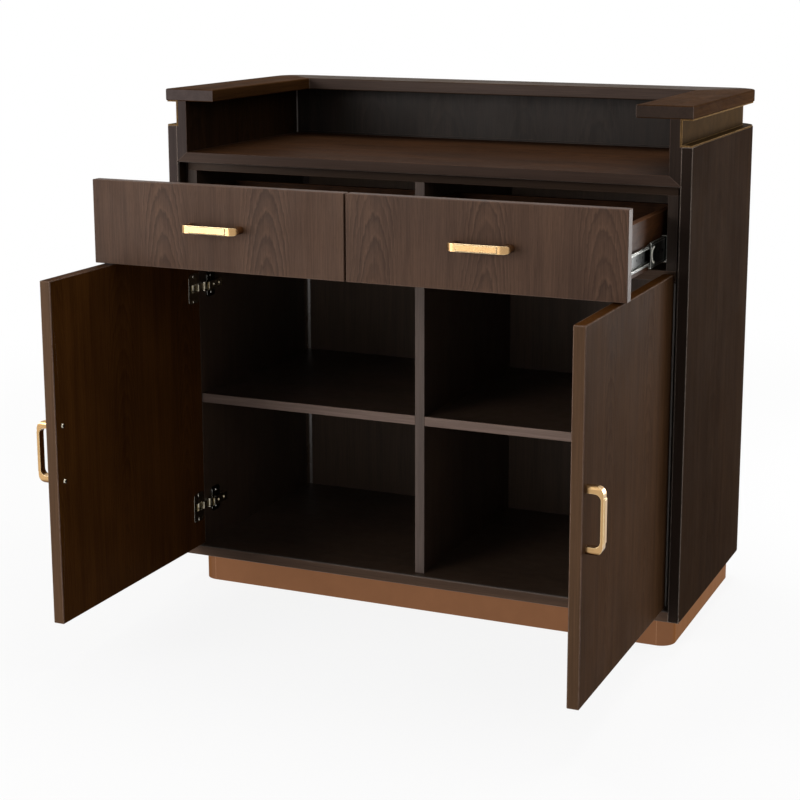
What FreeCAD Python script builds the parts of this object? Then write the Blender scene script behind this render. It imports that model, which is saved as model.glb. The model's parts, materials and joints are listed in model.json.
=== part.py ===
"""Waiter service station: a walnut sideboard with a raised gallery, two drawers and two doors.

Millimetres. X runs across (the viewer's right is +X), the front faces -Y and +Z is up.
The origin is on the floor under the middle of the cabinet.  Depths are measured back from
the front plane.  The parts are drawn as the station stands ready for use: drawers pulled
out and doors open square.
"""
import FreeCAD, Part
import math
import os

Vec = FreeCAD.Vector
Z_AXIS = Vec(0, 0, 1)

# Overall size
WIDTH = 1000.0
DEPTH = 485.0
HEIGHT = 962.0
CORNER_R = 56.0          # rear corners of the body, seen from above
ARRIS = 0.7              # broken edge on every board
TOUCH_GAP = 0.3          # between curved faces that sit inside one another
NEAR = 0.01              # for finding edges by their place

# Double-leaf walls
OUTER_T = 19.0           # outer leaf
INNER_T = 18.0           # inner leaf, worktop and carcass boards
RECESS_WALL = 3.0        # folded sheet behind the shadow recess
GALLERY_DEEP = 116.0     # cap top above the worktop
RECESS_H = 46.0          # cap underside above the outer leaves
FOOT_REBATE = (3.0, 4.0)     # shadow line at the foot of the gallery back: depth, height

# Cap on the gallery
CAP_T = 22.0
CAP_W = 98.0
CAP_LIP = 3.0            # overhang at the front
CAP_ROUND = 2.5
CAP_CORNER_R = 50.0      # outer rear corners
CAP_INNER_R = 4.0        # inner rear corners

# Recess under the cap
LEDGE_T = 2.5
FLANGE_T = 2.0
FLANGE_REACH = 21.0

# Carcass
SET_BACK = 22.5          # carcass front behind the front plane
SPACER_T = 9.0
SPACER_FRONT = 30.0
RAIL_DEPTH = 80.0
RAIL_OVERLAP = 1.5       # rail top above the foot of the drawer fronts

# Plinth
PLINTH_H = 65.0
PLINTH_SIDE = 24.0
PLINTH_FRONT = 48.0
PLINTH_REAR = 10.0
PLINTH_R = 28.0
PLINTH_T = 18.0

# Fronts
FRONT_T = 20.0
FRONT_ARRIS = 1.0
EDGE_GAP = 2.5
MEETING_GAP = 3.5
DRAWER_H = 145.0
LEVEL_GAP = 3.0          # between drawer fronts and doors
DOOR_FOOT_GAP = 2.0

# Drawer boxes and slides
DRAWER_OUT = 285.0       # how far the drawers stand open
MID_SHARE = 0.3          # share of the drawer's travel made by the middle slide member
BOX_T = 12.0
BOX_H = 89.0
BOX_LIFT = 11.5          # box above the foot of its front
BASE_LIFT = 8.0
BASE_T = 6.0
SLIDE_LIFT = 39.1        # slide centre above the foot of the drawer fronts
SLIDE_W = 12.7
SLIDE_LEN = 400.0
SLIDE_FRONT = 24.0
SHEET = 1.2
CABINET_HALF = 22.7      # half heights of the three slide members
MIDDLE_HALF = 17.5
DRAWER_HALF = 13.2
RUN_GAP = 0.08           # between a runner and its track
RUNNER_W = 3.6
RUNNER_IN = 0.4
CABINET_FLANGE = 9.5     # reach of the flanges from the cabinet's side
MIDDLE_SPAN = (3.0, 11.0)
DRAWER_FLANGE = 5.5
LIP = 2.2                # curled edge of the cabinet member
STOP_L = 10.0            # end stop on the middle member
STOP_T = 1.8

# Bar handles
HOLE_PITCH = 96.0
BAR_L = 109.0
BAR_W = 13.0
BAR_REACH = 28.0
BAR_T = 4.5
BAR_CURVE = 15.0
BAR_INNER = 0.7          # inner corner radius as a share of the outer
PAD_L = 70.0
PAD_T = 2.4
BAR_SINK = 0.4           # pad sunk into the grip
PAD_INSET = 0.6
DRAWER_BAR_LIFT = 73.5   # above the foot of the drawer fronts
DOOR_BAR_EDGE = 20.0     # from the door's free edge

# Concealed hinges, drawn for the right-hand door when shut
HINGE_ABOVE = 79.0       # lower hinge above the door's foot
HINGE_BELOW = 87.5       # upper hinge below the door's top
ARM_PIN_AT = (6.5, 6.0)  # in from the carcass side, behind the carcass front
CUP_PIN_AT = (11.0, 8.06)   # in from the hinge edge, below the inner face
KNEE_AT = (22.5, 11.0)   # likewise
LINK_TURN = -25.16       # turn of the links while the door opens
DOOR_TURN = 90.0
CUP_EDGE = 22.5          # cup centre from the door's hinge edge
CUP_R = 17.5
CUP_DEEP = 13.3
CUP_VOID = (15.0, 7.2)   # half width and half height of the space in the cup
CUP_FLOOR = 0.6
LINK_T = 2.2
LINK_HALF = 6.4
EYE_R = 2.6
PIN_R = 1.5
PIN_PLAY = 0.05
ARM_GAP = 0.5
ARM_SIDE = 1.3
ARM_NOSE_R = 4.5
ARM_H = 11.0             # arm on its plate
ARM_REACH = 63.5         # arm's end behind the carcass front
ARM_NECK = 8.0
SOCKET = (3.2, 1.5)      # adjusting screws sunk in the arm: radius, depth
SOCKET_PITCH = 20.0
PLATE_T = 3.0
PLATE_SPAN = (23.5, 53.5)    # behind the carcass front
PLATE_HALF = 24.0
PLATE_ROUND = 7.0
FLANGE_HALF = (18.0, 28.5)   # half width and half height of the cup's flange
FLANGE_ROUND = 8.0

# Screws: head radius, head thickness, shank radius, shank length
CUP_SCREW = (3.8, 0.7, 2.0, 9.0)
PLATE_SCREW = (3.5, 1.2, 2.0, 12.0)
BAR_SCREW = (4.2, 2.0, 2.0, FRONT_T)
HEAD_TAPER = 0.75        # top of a head as a share of its foot
CUP_SCREW_PITCH = 48.0
PLATE_SCREW_PITCH = 32.0

# Derived
HALF = WIDTH / 2
FRONT_Y = -DEPTH / 2
BACK_IN = DEPTH - OUTER_T                 # inner face of the outer back leaf
OUTER_IN = HALF - OUTER_T                 # inner face of an outer side leaf
WALL_IN = OUTER_IN - RECESS_WALL          # outer face of an inner leaf behind the recess
LEAF_IN = WALL_IN - INNER_T               # inner face of an inner leaf
WORKTOP_Z = HEIGHT - GALLERY_DEEP
WALL_BACK = BACK_IN - RECESS_WALL         # rear face of the gallery back at the recess
GALLERY_IN = WALL_BACK - INNER_T
CAP_LOW = HEIGHT - CAP_T
LEAF_TOP = CAP_LOW - RECESS_H
DECK_LOW = WORKTOP_Z - INNER_T            # underside of the worktop
CARCASS_TOP = DECK_LOW
CARCASS_OUT = OUTER_IN - SPACER_T
CARCASS_IN = CARCASS_OUT - INNER_T
FLOOR_TOP = PLINTH_H + INNER_T
STRAIGHT_X = HALF - CORNER_R              # where the rounded corners begin
STRAIGHT_D = DEPTH - CORNER_R
FRONT_OUT = OUTER_IN - EDGE_GAP
FRONT_IN = MEETING_GAP / 2
DIVIDER_HALF = INNER_T / 2
BAR_X = (FRONT_OUT + FRONT_IN) / 2
DRAWER_LOW = DECK_LOW - EDGE_GAP - DRAWER_H
RAIL_TOP = DRAWER_LOW + RAIL_OVERLAP
SHELF_TOP = (FLOOR_TOP + RAIL_TOP) / 2
DOOR_LOW = FLOOR_TOP + DOOR_FOOT_GAP
DOOR_TOP = DRAWER_LOW - LEVEL_GAP
SLIDE_Z = DRAWER_LOW + SLIDE_LIFT
BOX_LOW = DRAWER_LOW + BOX_LIFT
BOX_TOP = BOX_LOW + BOX_H
BOX_REAR = SLIDE_FRONT + SLIDE_LEN
BASE_LOW = BOX_LOW + BASE_LIFT
DRAWER_BAR_Z = DRAWER_LOW + DRAWER_BAR_LIFT
DOOR_BAR_Z = (DOOR_LOW + DOOR_TOP) / 2
HINGE_ZS = (DOOR_LOW + HINGE_ABOVE, DOOR_TOP - HINGE_BELOW)
ARM_PIN = (CARCASS_IN - ARM_PIN_AT[0], SET_BACK + ARM_PIN_AT[1])
CUP_PIN = (FRONT_OUT - CUP_PIN_AT[0], FRONT_T - CUP_PIN_AT[1])
KNEE = (FRONT_OUT - KNEE_AT[0], FRONT_T - KNEE_AT[1])
ARM_FLAT = (CARCASS_IN - PLATE_T - ARM_H, CARCASS_IN - PLATE_T)
ARM_END = SET_BACK + ARM_REACH
PLATE_DEPTHS = (SET_BACK + PLATE_SPAN[0], SET_BACK + PLATE_SPAN[1])


def slab(x_range, d_range, z_range):
    """A block given by its x, depth and z ranges."""
    size = [pair[1] - pair[0] for pair in (x_range, d_range, z_range)]
    return Part.makeBox(*size, Vec(x_range[0], FRONT_Y + d_range[0], z_range[0]))


def prism(points, z_range):
    """An upright prism over a plan outline of (x, depth) points."""
    corners = [Vec(x, FRONT_Y + d, z_range[0]) for x, d in points]
    face = Part.Face(Part.makePolygon(corners + corners[:1]))
    return face.extrude(Vec(0, 0, z_range[1] - z_range[0]))


def section(points, d_range):
    """A section of (x, z) points run along the depth."""
    corners = [Vec(x, FRONT_Y + d_range[0], z) for x, z in points]
    face = Part.Face(Part.makePolygon(corners + corners[:1]))
    return face.extrude(Vec(0, d_range[1] - d_range[0], 0))


def profile_run(points, x_range):
    """A section of (depth, z) points run across the width."""
    corners = [Vec(x_range[0], FRONT_Y + d, z) for d, z in points]
    face = Part.Face(Part.makePolygon(corners + corners[:1]))
    return face.extrude(Vec(x_range[1] - x_range[0], 0, 0))


def disc(centre, radius, z_range):
    """An upright cylinder at a plan point."""
    base = Vec(centre[0], FRONT_Y + centre[1], z_range[0])
    return Part.makeCylinder(radius, z_range[1] - z_range[0], base, Z_AXIS)


def mirrored(shape):
    """The same shape on the other side of the centre plane."""
    return shape.mirror(Vec(0, 0, 0), Vec(1, 0, 0))


def sided(shape, side):
    """A right-hand shape kept for side 1 and mirrored for side -1."""
    return shape if side > 0 else mirrored(shape)


def both(shape):
    """A shape and its mirror image."""
    return [shape, mirrored(shape)]


def moved(shape, x=0.0, d=0.0, z=0.0):
    """A moved copy."""
    copy = shape.copy()
    copy.translate(Vec(x, d, z))
    return copy


def eased(shape, size=ARRIS):
    """A board with all its edges broken."""
    return shape.makeChamfer(size, shape.Edges)


def clip_rear(shape, inset):
    """Cut the rear corners of a board so that it clears the rounded corner posts."""
    total = HALF - inset + STRAIGHT_D
    far = 2 * HALF
    wedge = prism([(total, 0), (far, 0), (far, far), (total - far, far)], (0, HEIGHT))
    return shape.cut(wedge).cut(mirrored(wedge))


def save(name, *shapes):
    """Write one node as a STEP file."""
    shape = shapes[0] if len(shapes) == 1 else Part.makeCompound(list(shapes))
    shape.exportStep("parts/" + name + ".step")


def screw(kind, base, direction):
    """A screw: its tapered head stands on the base point, its shank runs along direction."""
    head_r, head_t, shank_r, shank_l = kind
    head = Part.makeCone(head_r, head_r * HEAD_TAPER, head_t, base, direction * -1)
    return head.fuse(Part.makeCylinder(shank_r, shank_l, base, direction))


def screw_hole(kind, base, direction):
    """The clearance hole for a screw's shank."""
    return Part.makeCylinder(kind[2] + TOUCH_GAP, kind[3] + TOUCH_GAP, base, direction)


def drilled(shape, kind, places, direction):
    """A shape with a clearance hole at each place."""
    for place in places:
        shape = shape.cut(screw_hole(kind, place, direction))
    return shape


def in_plan(x, d, z):
    """A point given by x, depth and height."""
    return Vec(x, FRONT_Y + d, z)


# ---------------------------------------------------------------- cap and gallery

def cap_ring():
    """The whole U-shaped cap with rounded rear corners and soft edges."""
    inner_x = HALF - CAP_W
    inner_d = DEPTH - CAP_W
    points = [(-HALF, -CAP_LIP), (-inner_x, -CAP_LIP), (-inner_x, inner_d), (inner_x, inner_d),
              (inner_x, -CAP_LIP), (HALF, -CAP_LIP), (HALF, DEPTH), (-HALF, DEPTH)]
    ring = prism(points, (CAP_LOW, HEIGHT))
    ring = ring.makeFillet(CAP_CORNER_R, upright_edges(ring, HALF, DEPTH))
    ring = ring.makeFillet(CAP_INNER_R, upright_edges(ring, inner_x, inner_d))
    return ring.makeFillet(CAP_ROUND, [edge for edge in ring.Edges if not is_upright(edge)])


def is_upright(edge):
    """True for a straight vertical edge."""
    box = edge.BoundBox
    return box.XLength + box.YLength < NEAR


def upright_edges(shape, x, d):
    """The pair of vertical edges at a plan point and at its mirror image."""
    return [edge for edge in shape.Edges if is_upright(edge)
            and abs(abs(edge.CenterOfMass.x) - x) < NEAR
            and abs(edge.CenterOfMass.y - FRONT_Y - d) < NEAR]


def build_cap():
    """Three boards mitred at the rear corners."""
    ring = cap_ring()
    mitre_x = HALF - CAP_W
    mitre_d = DEPTH - CAP_W
    reach = 2 * CAP_W
    near = (mitre_x - CAP_W, mitre_d - CAP_W)
    far = (mitre_x + reach, mitre_d + reach)
    arm = prism([near, far, (far[0], -CAP_W), (near[0], -CAP_W)], (0, 2 * HEIGHT))
    save("cap_right", ring.common(arm))
    save("cap_left", ring.common(mirrored(arm)))
    save("cap_back", ring.cut(arm).cut(mirrored(arm)))


def joined_front():
    """Leaves, worktop and bottom board in one piece, with the whole front outline broken."""
    right = [(HALF, PLINTH_H), (HALF, LEAF_TOP), (WALL_IN, LEAF_TOP), (WALL_IN, CAP_LOW),
             (LEAF_IN, CAP_LOW), (LEAF_IN, WORKTOP_Z)]
    left = [(-x, z) for x, z in reversed(right)]
    body = section(right + left, (0, BACK_IN))
    body = body.cut(slab((-OUTER_IN, OUTER_IN), (0, BACK_IN), (FLOOR_TOP, DECK_LOW)))
    front = [edge for edge in body.Edges if edge.BoundBox.YMax < FRONT_Y + NEAR]
    return body.makeChamfer(ARRIS, front)


def build_gallery(body):
    """Inner leaves mitred to the worktop, and the gallery back standing on it."""
    side = [(LEAF_IN, WORKTOP_Z), (OUTER_IN, DECK_LOW), (OUTER_IN, LEAF_TOP), (WALL_IN, LEAF_TOP),
            (WALL_IN, CAP_LOW), (LEAF_IN, CAP_LOW)]
    inset = OUTER_T + RECESS_WALL
    leaf = clip_rear(body.common(section(side, (0, WALL_BACK))), inset)
    save("inner_leaf_right", leaf)
    save("inner_leaf_left", mirrored(leaf))
    top = [(-OUTER_IN, DECK_LOW), (OUTER_IN, DECK_LOW), (LEAF_IN, WORKTOP_Z), (-LEAF_IN, WORKTOP_Z)]
    save("worktop", clip_rear(body.common(section(top, (0, BACK_IN))), inset))
    foot_d = GALLERY_IN + FOOT_REBATE[0]
    foot_z = WORKTOP_Z + FOOT_REBATE[1]
    back = [(foot_d, WORKTOP_Z), (foot_d, foot_z), (GALLERY_IN, foot_z), (GALLERY_IN, CAP_LOW),
            (WALL_BACK, CAP_LOW), (WALL_BACK, LEAF_TOP), (BACK_IN, LEAF_TOP), (BACK_IN, WORKTOP_Z)]
    save("gallery_back", clip_rear(profile_run(back, (-LEAF_IN, LEAF_IN)), inset))


# ---------------------------------------------------------------- outer skin

def recess_profile():
    """Folded sheet of the shadow recess as (outward offset, height) points."""
    low_top = LEAF_TOP + LEDGE_T
    high = CAP_LOW - FLANGE_T
    return [(0, LEAF_TOP), (FLANGE_REACH, LEAF_TOP), (FLANGE_REACH, low_top),
            (RECESS_WALL, low_top), (RECESS_WALL, high), (FLANGE_REACH, high),
            (FLANGE_REACH, CAP_LOW), (0, CAP_LOW)]


def build_recess():
    """The bronze band behind the recess: two sides, the back and two corners."""
    profile = recess_profile()
    side = section([(WALL_IN + s, z) for s, z in profile], (0, STRAIGHT_D))
    save("recess_right", side)
    save("recess_left", mirrored(side))
    across = (-STRAIGHT_X, STRAIGHT_X)
    save("recess_back", profile_run([(WALL_BACK + s, z) for s, z in profile], across))
    ring = [Vec(WALL_IN + s, FRONT_Y + STRAIGHT_D, z) for s, z in profile]
    face = Part.Face(Part.makePolygon(ring + ring[:1]))
    corner = face.revolve(in_plan(STRAIGHT_X, STRAIGHT_D, 0), Z_AXIS, 90)
    save("recess_corners", *both(corner))


def build_skin(body):
    """Outer leaves and the bent posts at the rear corners."""
    side = body.common(slab((OUTER_IN, HALF), (0, STRAIGHT_D), (PLINTH_H, LEAF_TOP)))
    save("outer_leaf_right", side)
    save("outer_leaf_left", mirrored(side))
    save("outer_leaf_back", slab((-STRAIGHT_X, STRAIGHT_X), (BACK_IN, DEPTH), (PLINTH_H, LEAF_TOP)))
    save("corner_posts", *both(quarter_ring(
        (STRAIGHT_X, STRAIGHT_D), CORNER_R - OUTER_T + TOUCH_GAP, CORNER_R, (PLINTH_H, LEAF_TOP))))


def quarter_ring(centre, inner_r, outer_r, z_range):
    """The rear right quarter of an upright ring."""
    quarter = slab((centre[0], centre[0] + outer_r), (centre[1], centre[1] + outer_r), z_range)
    ring = disc(centre, outer_r, z_range).cut(disc(centre, inner_r, z_range))
    return ring.common(quarter)


# ---------------------------------------------------------------- carcass

def rail_space():
    """The room that the rail takes."""
    return slab((-CARCASS_OUT, CARCASS_OUT), (SET_BACK, SET_BACK + RAIL_DEPTH),
                (RAIL_TOP - INNER_T, RAIL_TOP))


def build_carcass(body):
    """Boards of the inner box."""
    depth = (SET_BACK, BACK_IN)
    tall = (FLOOR_TOP, CARCASS_TOP - INNER_T)
    full = (-CARCASS_OUT, CARCASS_OUT)
    save("carcass_top", eased(clip_rear(
        slab(full, depth, (CARCASS_TOP - INNER_T, CARCASS_TOP)), OUTER_T)))
    side = clip_rear(slab((CARCASS_IN, CARCASS_OUT), depth, tall), OUTER_T).cut(rail_space())
    side = drilled(side, PLATE_SCREW, plate_screw_seats(), Vec(1, 0, 0))
    save("carcass_side_right", side)
    save("carcass_side_left", mirrored(side))
    divider = slab((-DIVIDER_HALF, DIVIDER_HALF), depth, tall)
    save("divider", divider.cut(rail_space()))
    save("rail", eased(rail_space()))
    shelf = slab((DIVIDER_HALF, CARCASS_IN), depth, (SHELF_TOP - INNER_T, SHELF_TOP))
    save("shelves", *both(eased(clip_rear(shelf, OUTER_T))))
    floor = body.common(slab((-OUTER_IN, OUTER_IN), (0, BACK_IN), (PLINTH_H, FLOOR_TOP)))
    save("bottom_board", clip_rear(floor, OUTER_T))
    spacer = slab((CARCASS_OUT, OUTER_IN), (SPACER_FRONT, STRAIGHT_D), (FLOOR_TOP, CARCASS_TOP))
    save("side_spacers", *both(clip_rear(spacer, OUTER_T)))


def build_plinth():
    """Recessed plinth: four straight runs, four rounded corners and a brace at mid-width."""
    out_x = HALF - PLINTH_SIDE
    rear = DEPTH - PLINTH_REAR
    tall = (0, PLINTH_H)
    run_x = (-out_x + PLINTH_R, out_x - PLINTH_R)
    run_d = (PLINTH_FRONT + PLINTH_R, rear - PLINTH_R)
    save("plinth_front", slab(run_x, (PLINTH_FRONT, PLINTH_FRONT + PLINTH_T), tall))
    save("plinth_back", slab(run_x, (rear - PLINTH_T, rear), tall))
    save("plinth_sides", *both(slab((out_x - PLINTH_T, out_x), run_d, tall)))
    inside = (PLINTH_FRONT + PLINTH_T, rear - PLINTH_T)
    save("plinth_brace", slab((-DIVIDER_HALF, DIVIDER_HALF), inside, tall))
    corner = quarter_ring((run_x[1], run_d[1]), PLINTH_R - PLINTH_T, PLINTH_R, tall)
    shift = (run_d[0] + run_d[1]) / 2 + FRONT_Y
    front = corner.mirror(Vec(0, shift, 0), Vec(0, 1, 0))
    save("plinth_corners", *both(corner), *both(front))


# ---------------------------------------------------------------- slides

def channel(n_range, half, flange_to, lip=0.0):
    """A C section: n is measured from the cabinet towards the drawer."""
    web = (n_range[0], n_range[1])
    points = [(web[0], -half), (flange_to, -half), (flange_to, -half + SHEET + lip)]
    if lip:
        points += [(flange_to - SHEET, -half + SHEET + lip), (flange_to - SHEET, -half + SHEET)]
    points += [(web[1], -half + SHEET)]
    return points + [(n, -z) for n, z in reversed(points)]


def slide_member(points, front, length):
    """One slide member for the right-hand wall of the right-hand drawer."""
    return section([(CARCASS_IN - n, SLIDE_Z + z) for n, z in points], (front, front + length))


def cabinet_member():
    """Outer slide member, fixed to the cabinet."""
    points = channel((0, SHEET), CABINET_HALF, CABINET_FLANGE, LIP)
    return slide_member(points, SLIDE_FRONT, SLIDE_LEN)


def runners(member, n_low, half, track_half, front, length):
    """A slide member with a bearing runner along both of its flanges."""
    for low, high in ((half, track_half - SHEET - RUN_GAP), (SHEET + RUN_GAP - track_half, -half)):
        points = [(n_low, low), (n_low + RUNNER_W, low), (n_low + RUNNER_W, high), (n_low, high)]
        member = member.fuse(slide_member(points, front, length))
    return member.removeSplitter()


def middle_member():
    """Middle slide member with its end stop."""
    front = SLIDE_FRONT - MID_SHARE * DRAWER_OUT
    low, high = MIDDLE_SPAN
    length = SLIDE_LEN - STOP_L
    rail = slide_member(channel((low, low + SHEET), MIDDLE_HALF, high), front, length)
    thick = low + STOP_T
    stop = [(low, -MIDDLE_HALF), (thick, -MIDDLE_HALF), (thick, MIDDLE_HALF), (low, MIDDLE_HALF)]
    rail = rail.fuse(slide_member(stop, front, STOP_L))
    return runners(rail, low + RUNNER_IN, MIDDLE_HALF, CABINET_HALF, front, length)


def drawer_member():
    """Inner slide member: a C that opens to the cabinet."""
    points = channel((SLIDE_W, SLIDE_W - SHEET), DRAWER_HALF, DRAWER_FLANGE)
    front = SLIDE_FRONT - DRAWER_OUT
    member = slide_member(points, front, SLIDE_LEN)
    low = DRAWER_FLANGE + RUNNER_IN
    return runners(member, low, DRAWER_HALF, MIDDLE_HALF, front, SLIDE_LEN)


def drawer_pair(shape):
    """A shape at the outer wall of the right-hand drawer and its mirror image at the divider."""
    middle = (CARCASS_IN + DIVIDER_HALF) / 2
    return [shape, shape.mirror(Vec(middle, 0, 0), Vec(1, 0, 0))]


def build_slides():
    """Three-part slides, one pair to a drawer."""
    fixed = drawer_pair(cabinet_member())
    save("slide_cabinet_members", *fixed, *[mirrored(shape) for shape in fixed])
    for name, side in (("right", 1), ("left", -1)):
        save("slide_middle_" + name, *[sided(s, side) for s in drawer_pair(middle_member())])
        save("slide_drawer_" + name, *[sided(s, side) for s in drawer_pair(drawer_member())])


# ---------------------------------------------------------------- handles

def bar_profile(reach, half, curve):
    """Side outline of a bridge: an arch of given reach, half length and corner radius."""
    k = curve * (1 - math.sqrt(0.5))
    a, b = Vec(-half, 0, 0), Vec(-half, -reach + curve, 0)
    c, d = Vec(-half + curve, -reach, 0), Vec(half - curve, -reach, 0)
    e, f = Vec(half, -reach + curve, 0), Vec(half, 0, 0)
    arc_1 = Part.Arc(b, Vec(-half + k, -reach + k, 0), c).toShape()
    arc_2 = Part.Arc(d, Vec(half - k, -reach + k, 0), e).toShape()
    lines = [Part.makeLine(*ends) for ends in ((a, b), (c, d), (e, f), (f, a))]
    wire = Part.Wire([lines[0], arc_1, lines[1], arc_2, lines[2], lines[3]])
    return Part.Face(wire)


def bar_handle():
    """Bridge handle along X with its feet at y = 0 and its grip towards -Y."""
    outer = bar_profile(BAR_REACH, BAR_L / 2, BAR_CURVE)
    foot = BAR_L - HOLE_PITCH
    inner = bar_profile(BAR_REACH - BAR_T, BAR_L / 2 - foot, BAR_CURVE * BAR_INNER)
    arch = outer.cut(inner).extrude(Vec(0, 0, BAR_W))
    arch.translate(Vec(0, 0, -BAR_W / 2))
    arch = arch.common(stadium(BAR_L, BAR_W, -BAR_REACH, 0))
    pad_front = BAR_SINK - BAR_REACH - PAD_T
    corner = Vec(-PAD_L / 2, pad_front, PAD_INSET - BAR_W / 2)
    pad = Part.makeBox(PAD_L, PAD_T, BAR_W - 2 * PAD_INSET, corner)
    front = [edge for edge in pad.Edges if abs(edge.CenterOfMass.y - pad_front) < 0.01]
    return arch.fuse(pad.makeChamfer(PAD_T / 2, front)).removeSplitter()


def stadium(length, width, y0, y1):
    """A plate with half-round ends, its outline in XZ."""
    radius = width / 2
    run = length / 2 - radius
    middle = Part.makeBox(2 * run, y1 - y0, width, Vec(-run, y0, -radius))
    ends = [Part.makeCylinder(radius, y1 - y0, Vec(x, y0, 0), Vec(0, 1, 0)) for x in (-run, run)]
    return middle.fuse(ends).removeSplitter()


def level_bar(x, d, z):
    """A handle lying level on a front."""
    return moved(bar_handle(), x, FRONT_Y + d, z)


def upright_bar(x, d, z):
    """A handle standing upright on a front."""
    bar = bar_handle()
    bar.rotate(Vec(0, 0, 0), Vec(0, 1, 0), 90)
    return moved(bar, x, FRONT_Y + d, z)


# ---------------------------------------------------------------- drawers

def build_drawer(name, side):
    """One drawer, drawn shut and then pulled out; x is for the right-hand side."""
    out = -DRAWER_OUT
    inner = DIVIDER_HALF + SLIDE_W
    outer = CARCASS_IN - SLIDE_W
    seats = [in_plan(BAR_X + dx, FRONT_T, DRAWER_BAR_Z) for dx in (-HOLE_PITCH / 2, HOLE_PITCH / 2)]
    towards = Vec(0, -1, 0)
    front = slab((FRONT_IN, FRONT_OUT), (0, FRONT_T), (DRAWER_LOW, DECK_LOW - EDGE_GAP))
    front = drilled(eased(front, FRONT_ARRIS), BAR_SCREW, seats, towards)
    wall = slab((outer - BOX_T, outer), (FRONT_T, BOX_REAR), (BOX_LOW, BOX_TOP))
    clear = (inner + BOX_T, outer - BOX_T)
    back = slab(clear, (BOX_REAR - BOX_T, BOX_REAR), (BOX_LOW, BOX_TOP))
    base = slab(clear, (FRONT_T, BOX_REAR - BOX_T), (BASE_LOW, BASE_LOW + BASE_T))
    pieces = {
        "front": [front],
        "sides": drawer_pair(eased(wall)),
        "back": [eased(back)],
        "base": [base],
        "handle": [level_bar(BAR_X, 0, DRAWER_BAR_Z)],
        "screws": [screw(BAR_SCREW, seat, towards) for seat in seats],
    }
    for piece, shapes in pieces.items():
        placed = [sided(moved(shape, d=out), side) for shape in shapes]
        save("drawer_" + piece + "_" + name, *placed)


# ---------------------------------------------------------------- doors and hinges

def turned(point, about, degrees):
    """A plan point turned about another."""
    angle = math.radians(degrees)
    x, d = point[0] - about[0], point[1] - about[1]
    return (about[0] + x * math.cos(angle) - d * math.sin(angle),
            about[1] + x * math.sin(angle) + d * math.cos(angle))


def opened(shape):
    """Carry a shape of the shut door to where it is with the door open."""
    pin = turned(CUP_PIN, ARM_PIN, LINK_TURN)
    copy = shape.copy()
    copy.rotate(in_plan(CUP_PIN[0], CUP_PIN[1], 0), Z_AXIS, DOOR_TURN)
    return moved(copy, pin[0] - CUP_PIN[0], pin[1] - CUP_PIN[1])


def cup_centre():
    """Distance of the cup's centre from the cabinet's centre plane, door shut."""
    return FRONT_OUT - CUP_EDGE


def cup_screw_seats():
    """Seats of the screws on the cup flanges."""
    seat = FRONT_T + SHEET
    return [in_plan(cup_centre(), seat, z + dz) for z in HINGE_ZS
            for dz in (-CUP_SCREW_PITCH / 2, CUP_SCREW_PITCH / 2)]


def plate_screw_seats():
    """Seats of the screws on the mounting plates."""
    d = sum(PLATE_DEPTHS) / 2
    return [in_plan(CARCASS_IN - PLATE_T, d, z + dz) for z in HINGE_ZS
            for dz in (-PLATE_SCREW_PITCH / 2, PLATE_SCREW_PITCH / 2)]


def cup_bore(radius, d_range, z):
    """A cylinder into the door at one hinge."""
    base = in_plan(cup_centre(), d_range[0], z)
    return Part.makeCylinder(radius, d_range[1] - d_range[0], base, Vec(0, 1, 0))


def hinge_cup(z):
    """Cup with its flange, the space for the link and the pin across it."""
    floor = FRONT_T - CUP_DEEP
    rim = FRONT_T + SHEET
    body = cup_bore(CUP_R - TOUCH_GAP, (floor, FRONT_T), z)
    x = cup_centre()
    wide, high = FLANGE_HALF
    flange = slab((x - wide, x + wide), (FRONT_T, rim), (z - high, z + high))
    corners = [edge for edge in flange.Edges if edge.BoundBox.YLength > SHEET - 0.01]
    body = body.fuse(flange.makeFillet(FLANGE_ROUND, corners))
    half_w, half_h = CUP_VOID
    void = slab((x - half_w, x + half_w), (floor + CUP_FLOOR, rim), (z - half_h, z + half_h))
    body = body.cut(void).fuse(disc(CUP_PIN, PIN_R, (z - half_h, z + half_h)))
    return drilled(body, CUP_SCREW, cup_screw_seats(), Vec(0, -1, 0))


def strip(start, end, thickness, z_range):
    """A flat bar between two plan points."""
    length = math.hypot(end[0] - start[0], end[1] - start[1])
    nx = (end[1] - start[1]) / length * thickness / 2
    nd = (start[0] - end[0]) / length * thickness / 2
    points = [(start[0] + nx, start[1] + nd), (end[0] + nx, end[1] + nd),
              (end[0] - nx, end[1] - nd), (start[0] - nx, start[1] - nd)]
    return prism(points, z_range)


def hinge_link(z):
    """Cranked link between the arm's pin and the cup's pin, door shut."""
    tall = (z - LINK_HALF, z + LINK_HALF)
    body = strip(ARM_PIN, KNEE, LINK_T, tall).fuse(strip(KNEE, CUP_PIN, LINK_T, tall))
    body = body.fuse(disc(KNEE, LINK_T / 2, tall))
    for pin in (ARM_PIN, CUP_PIN):
        body = body.fuse(disc(pin, EYE_R, tall)).cut(disc(pin, PIN_R + PIN_PLAY, tall))
    return body.removeSplitter()


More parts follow.
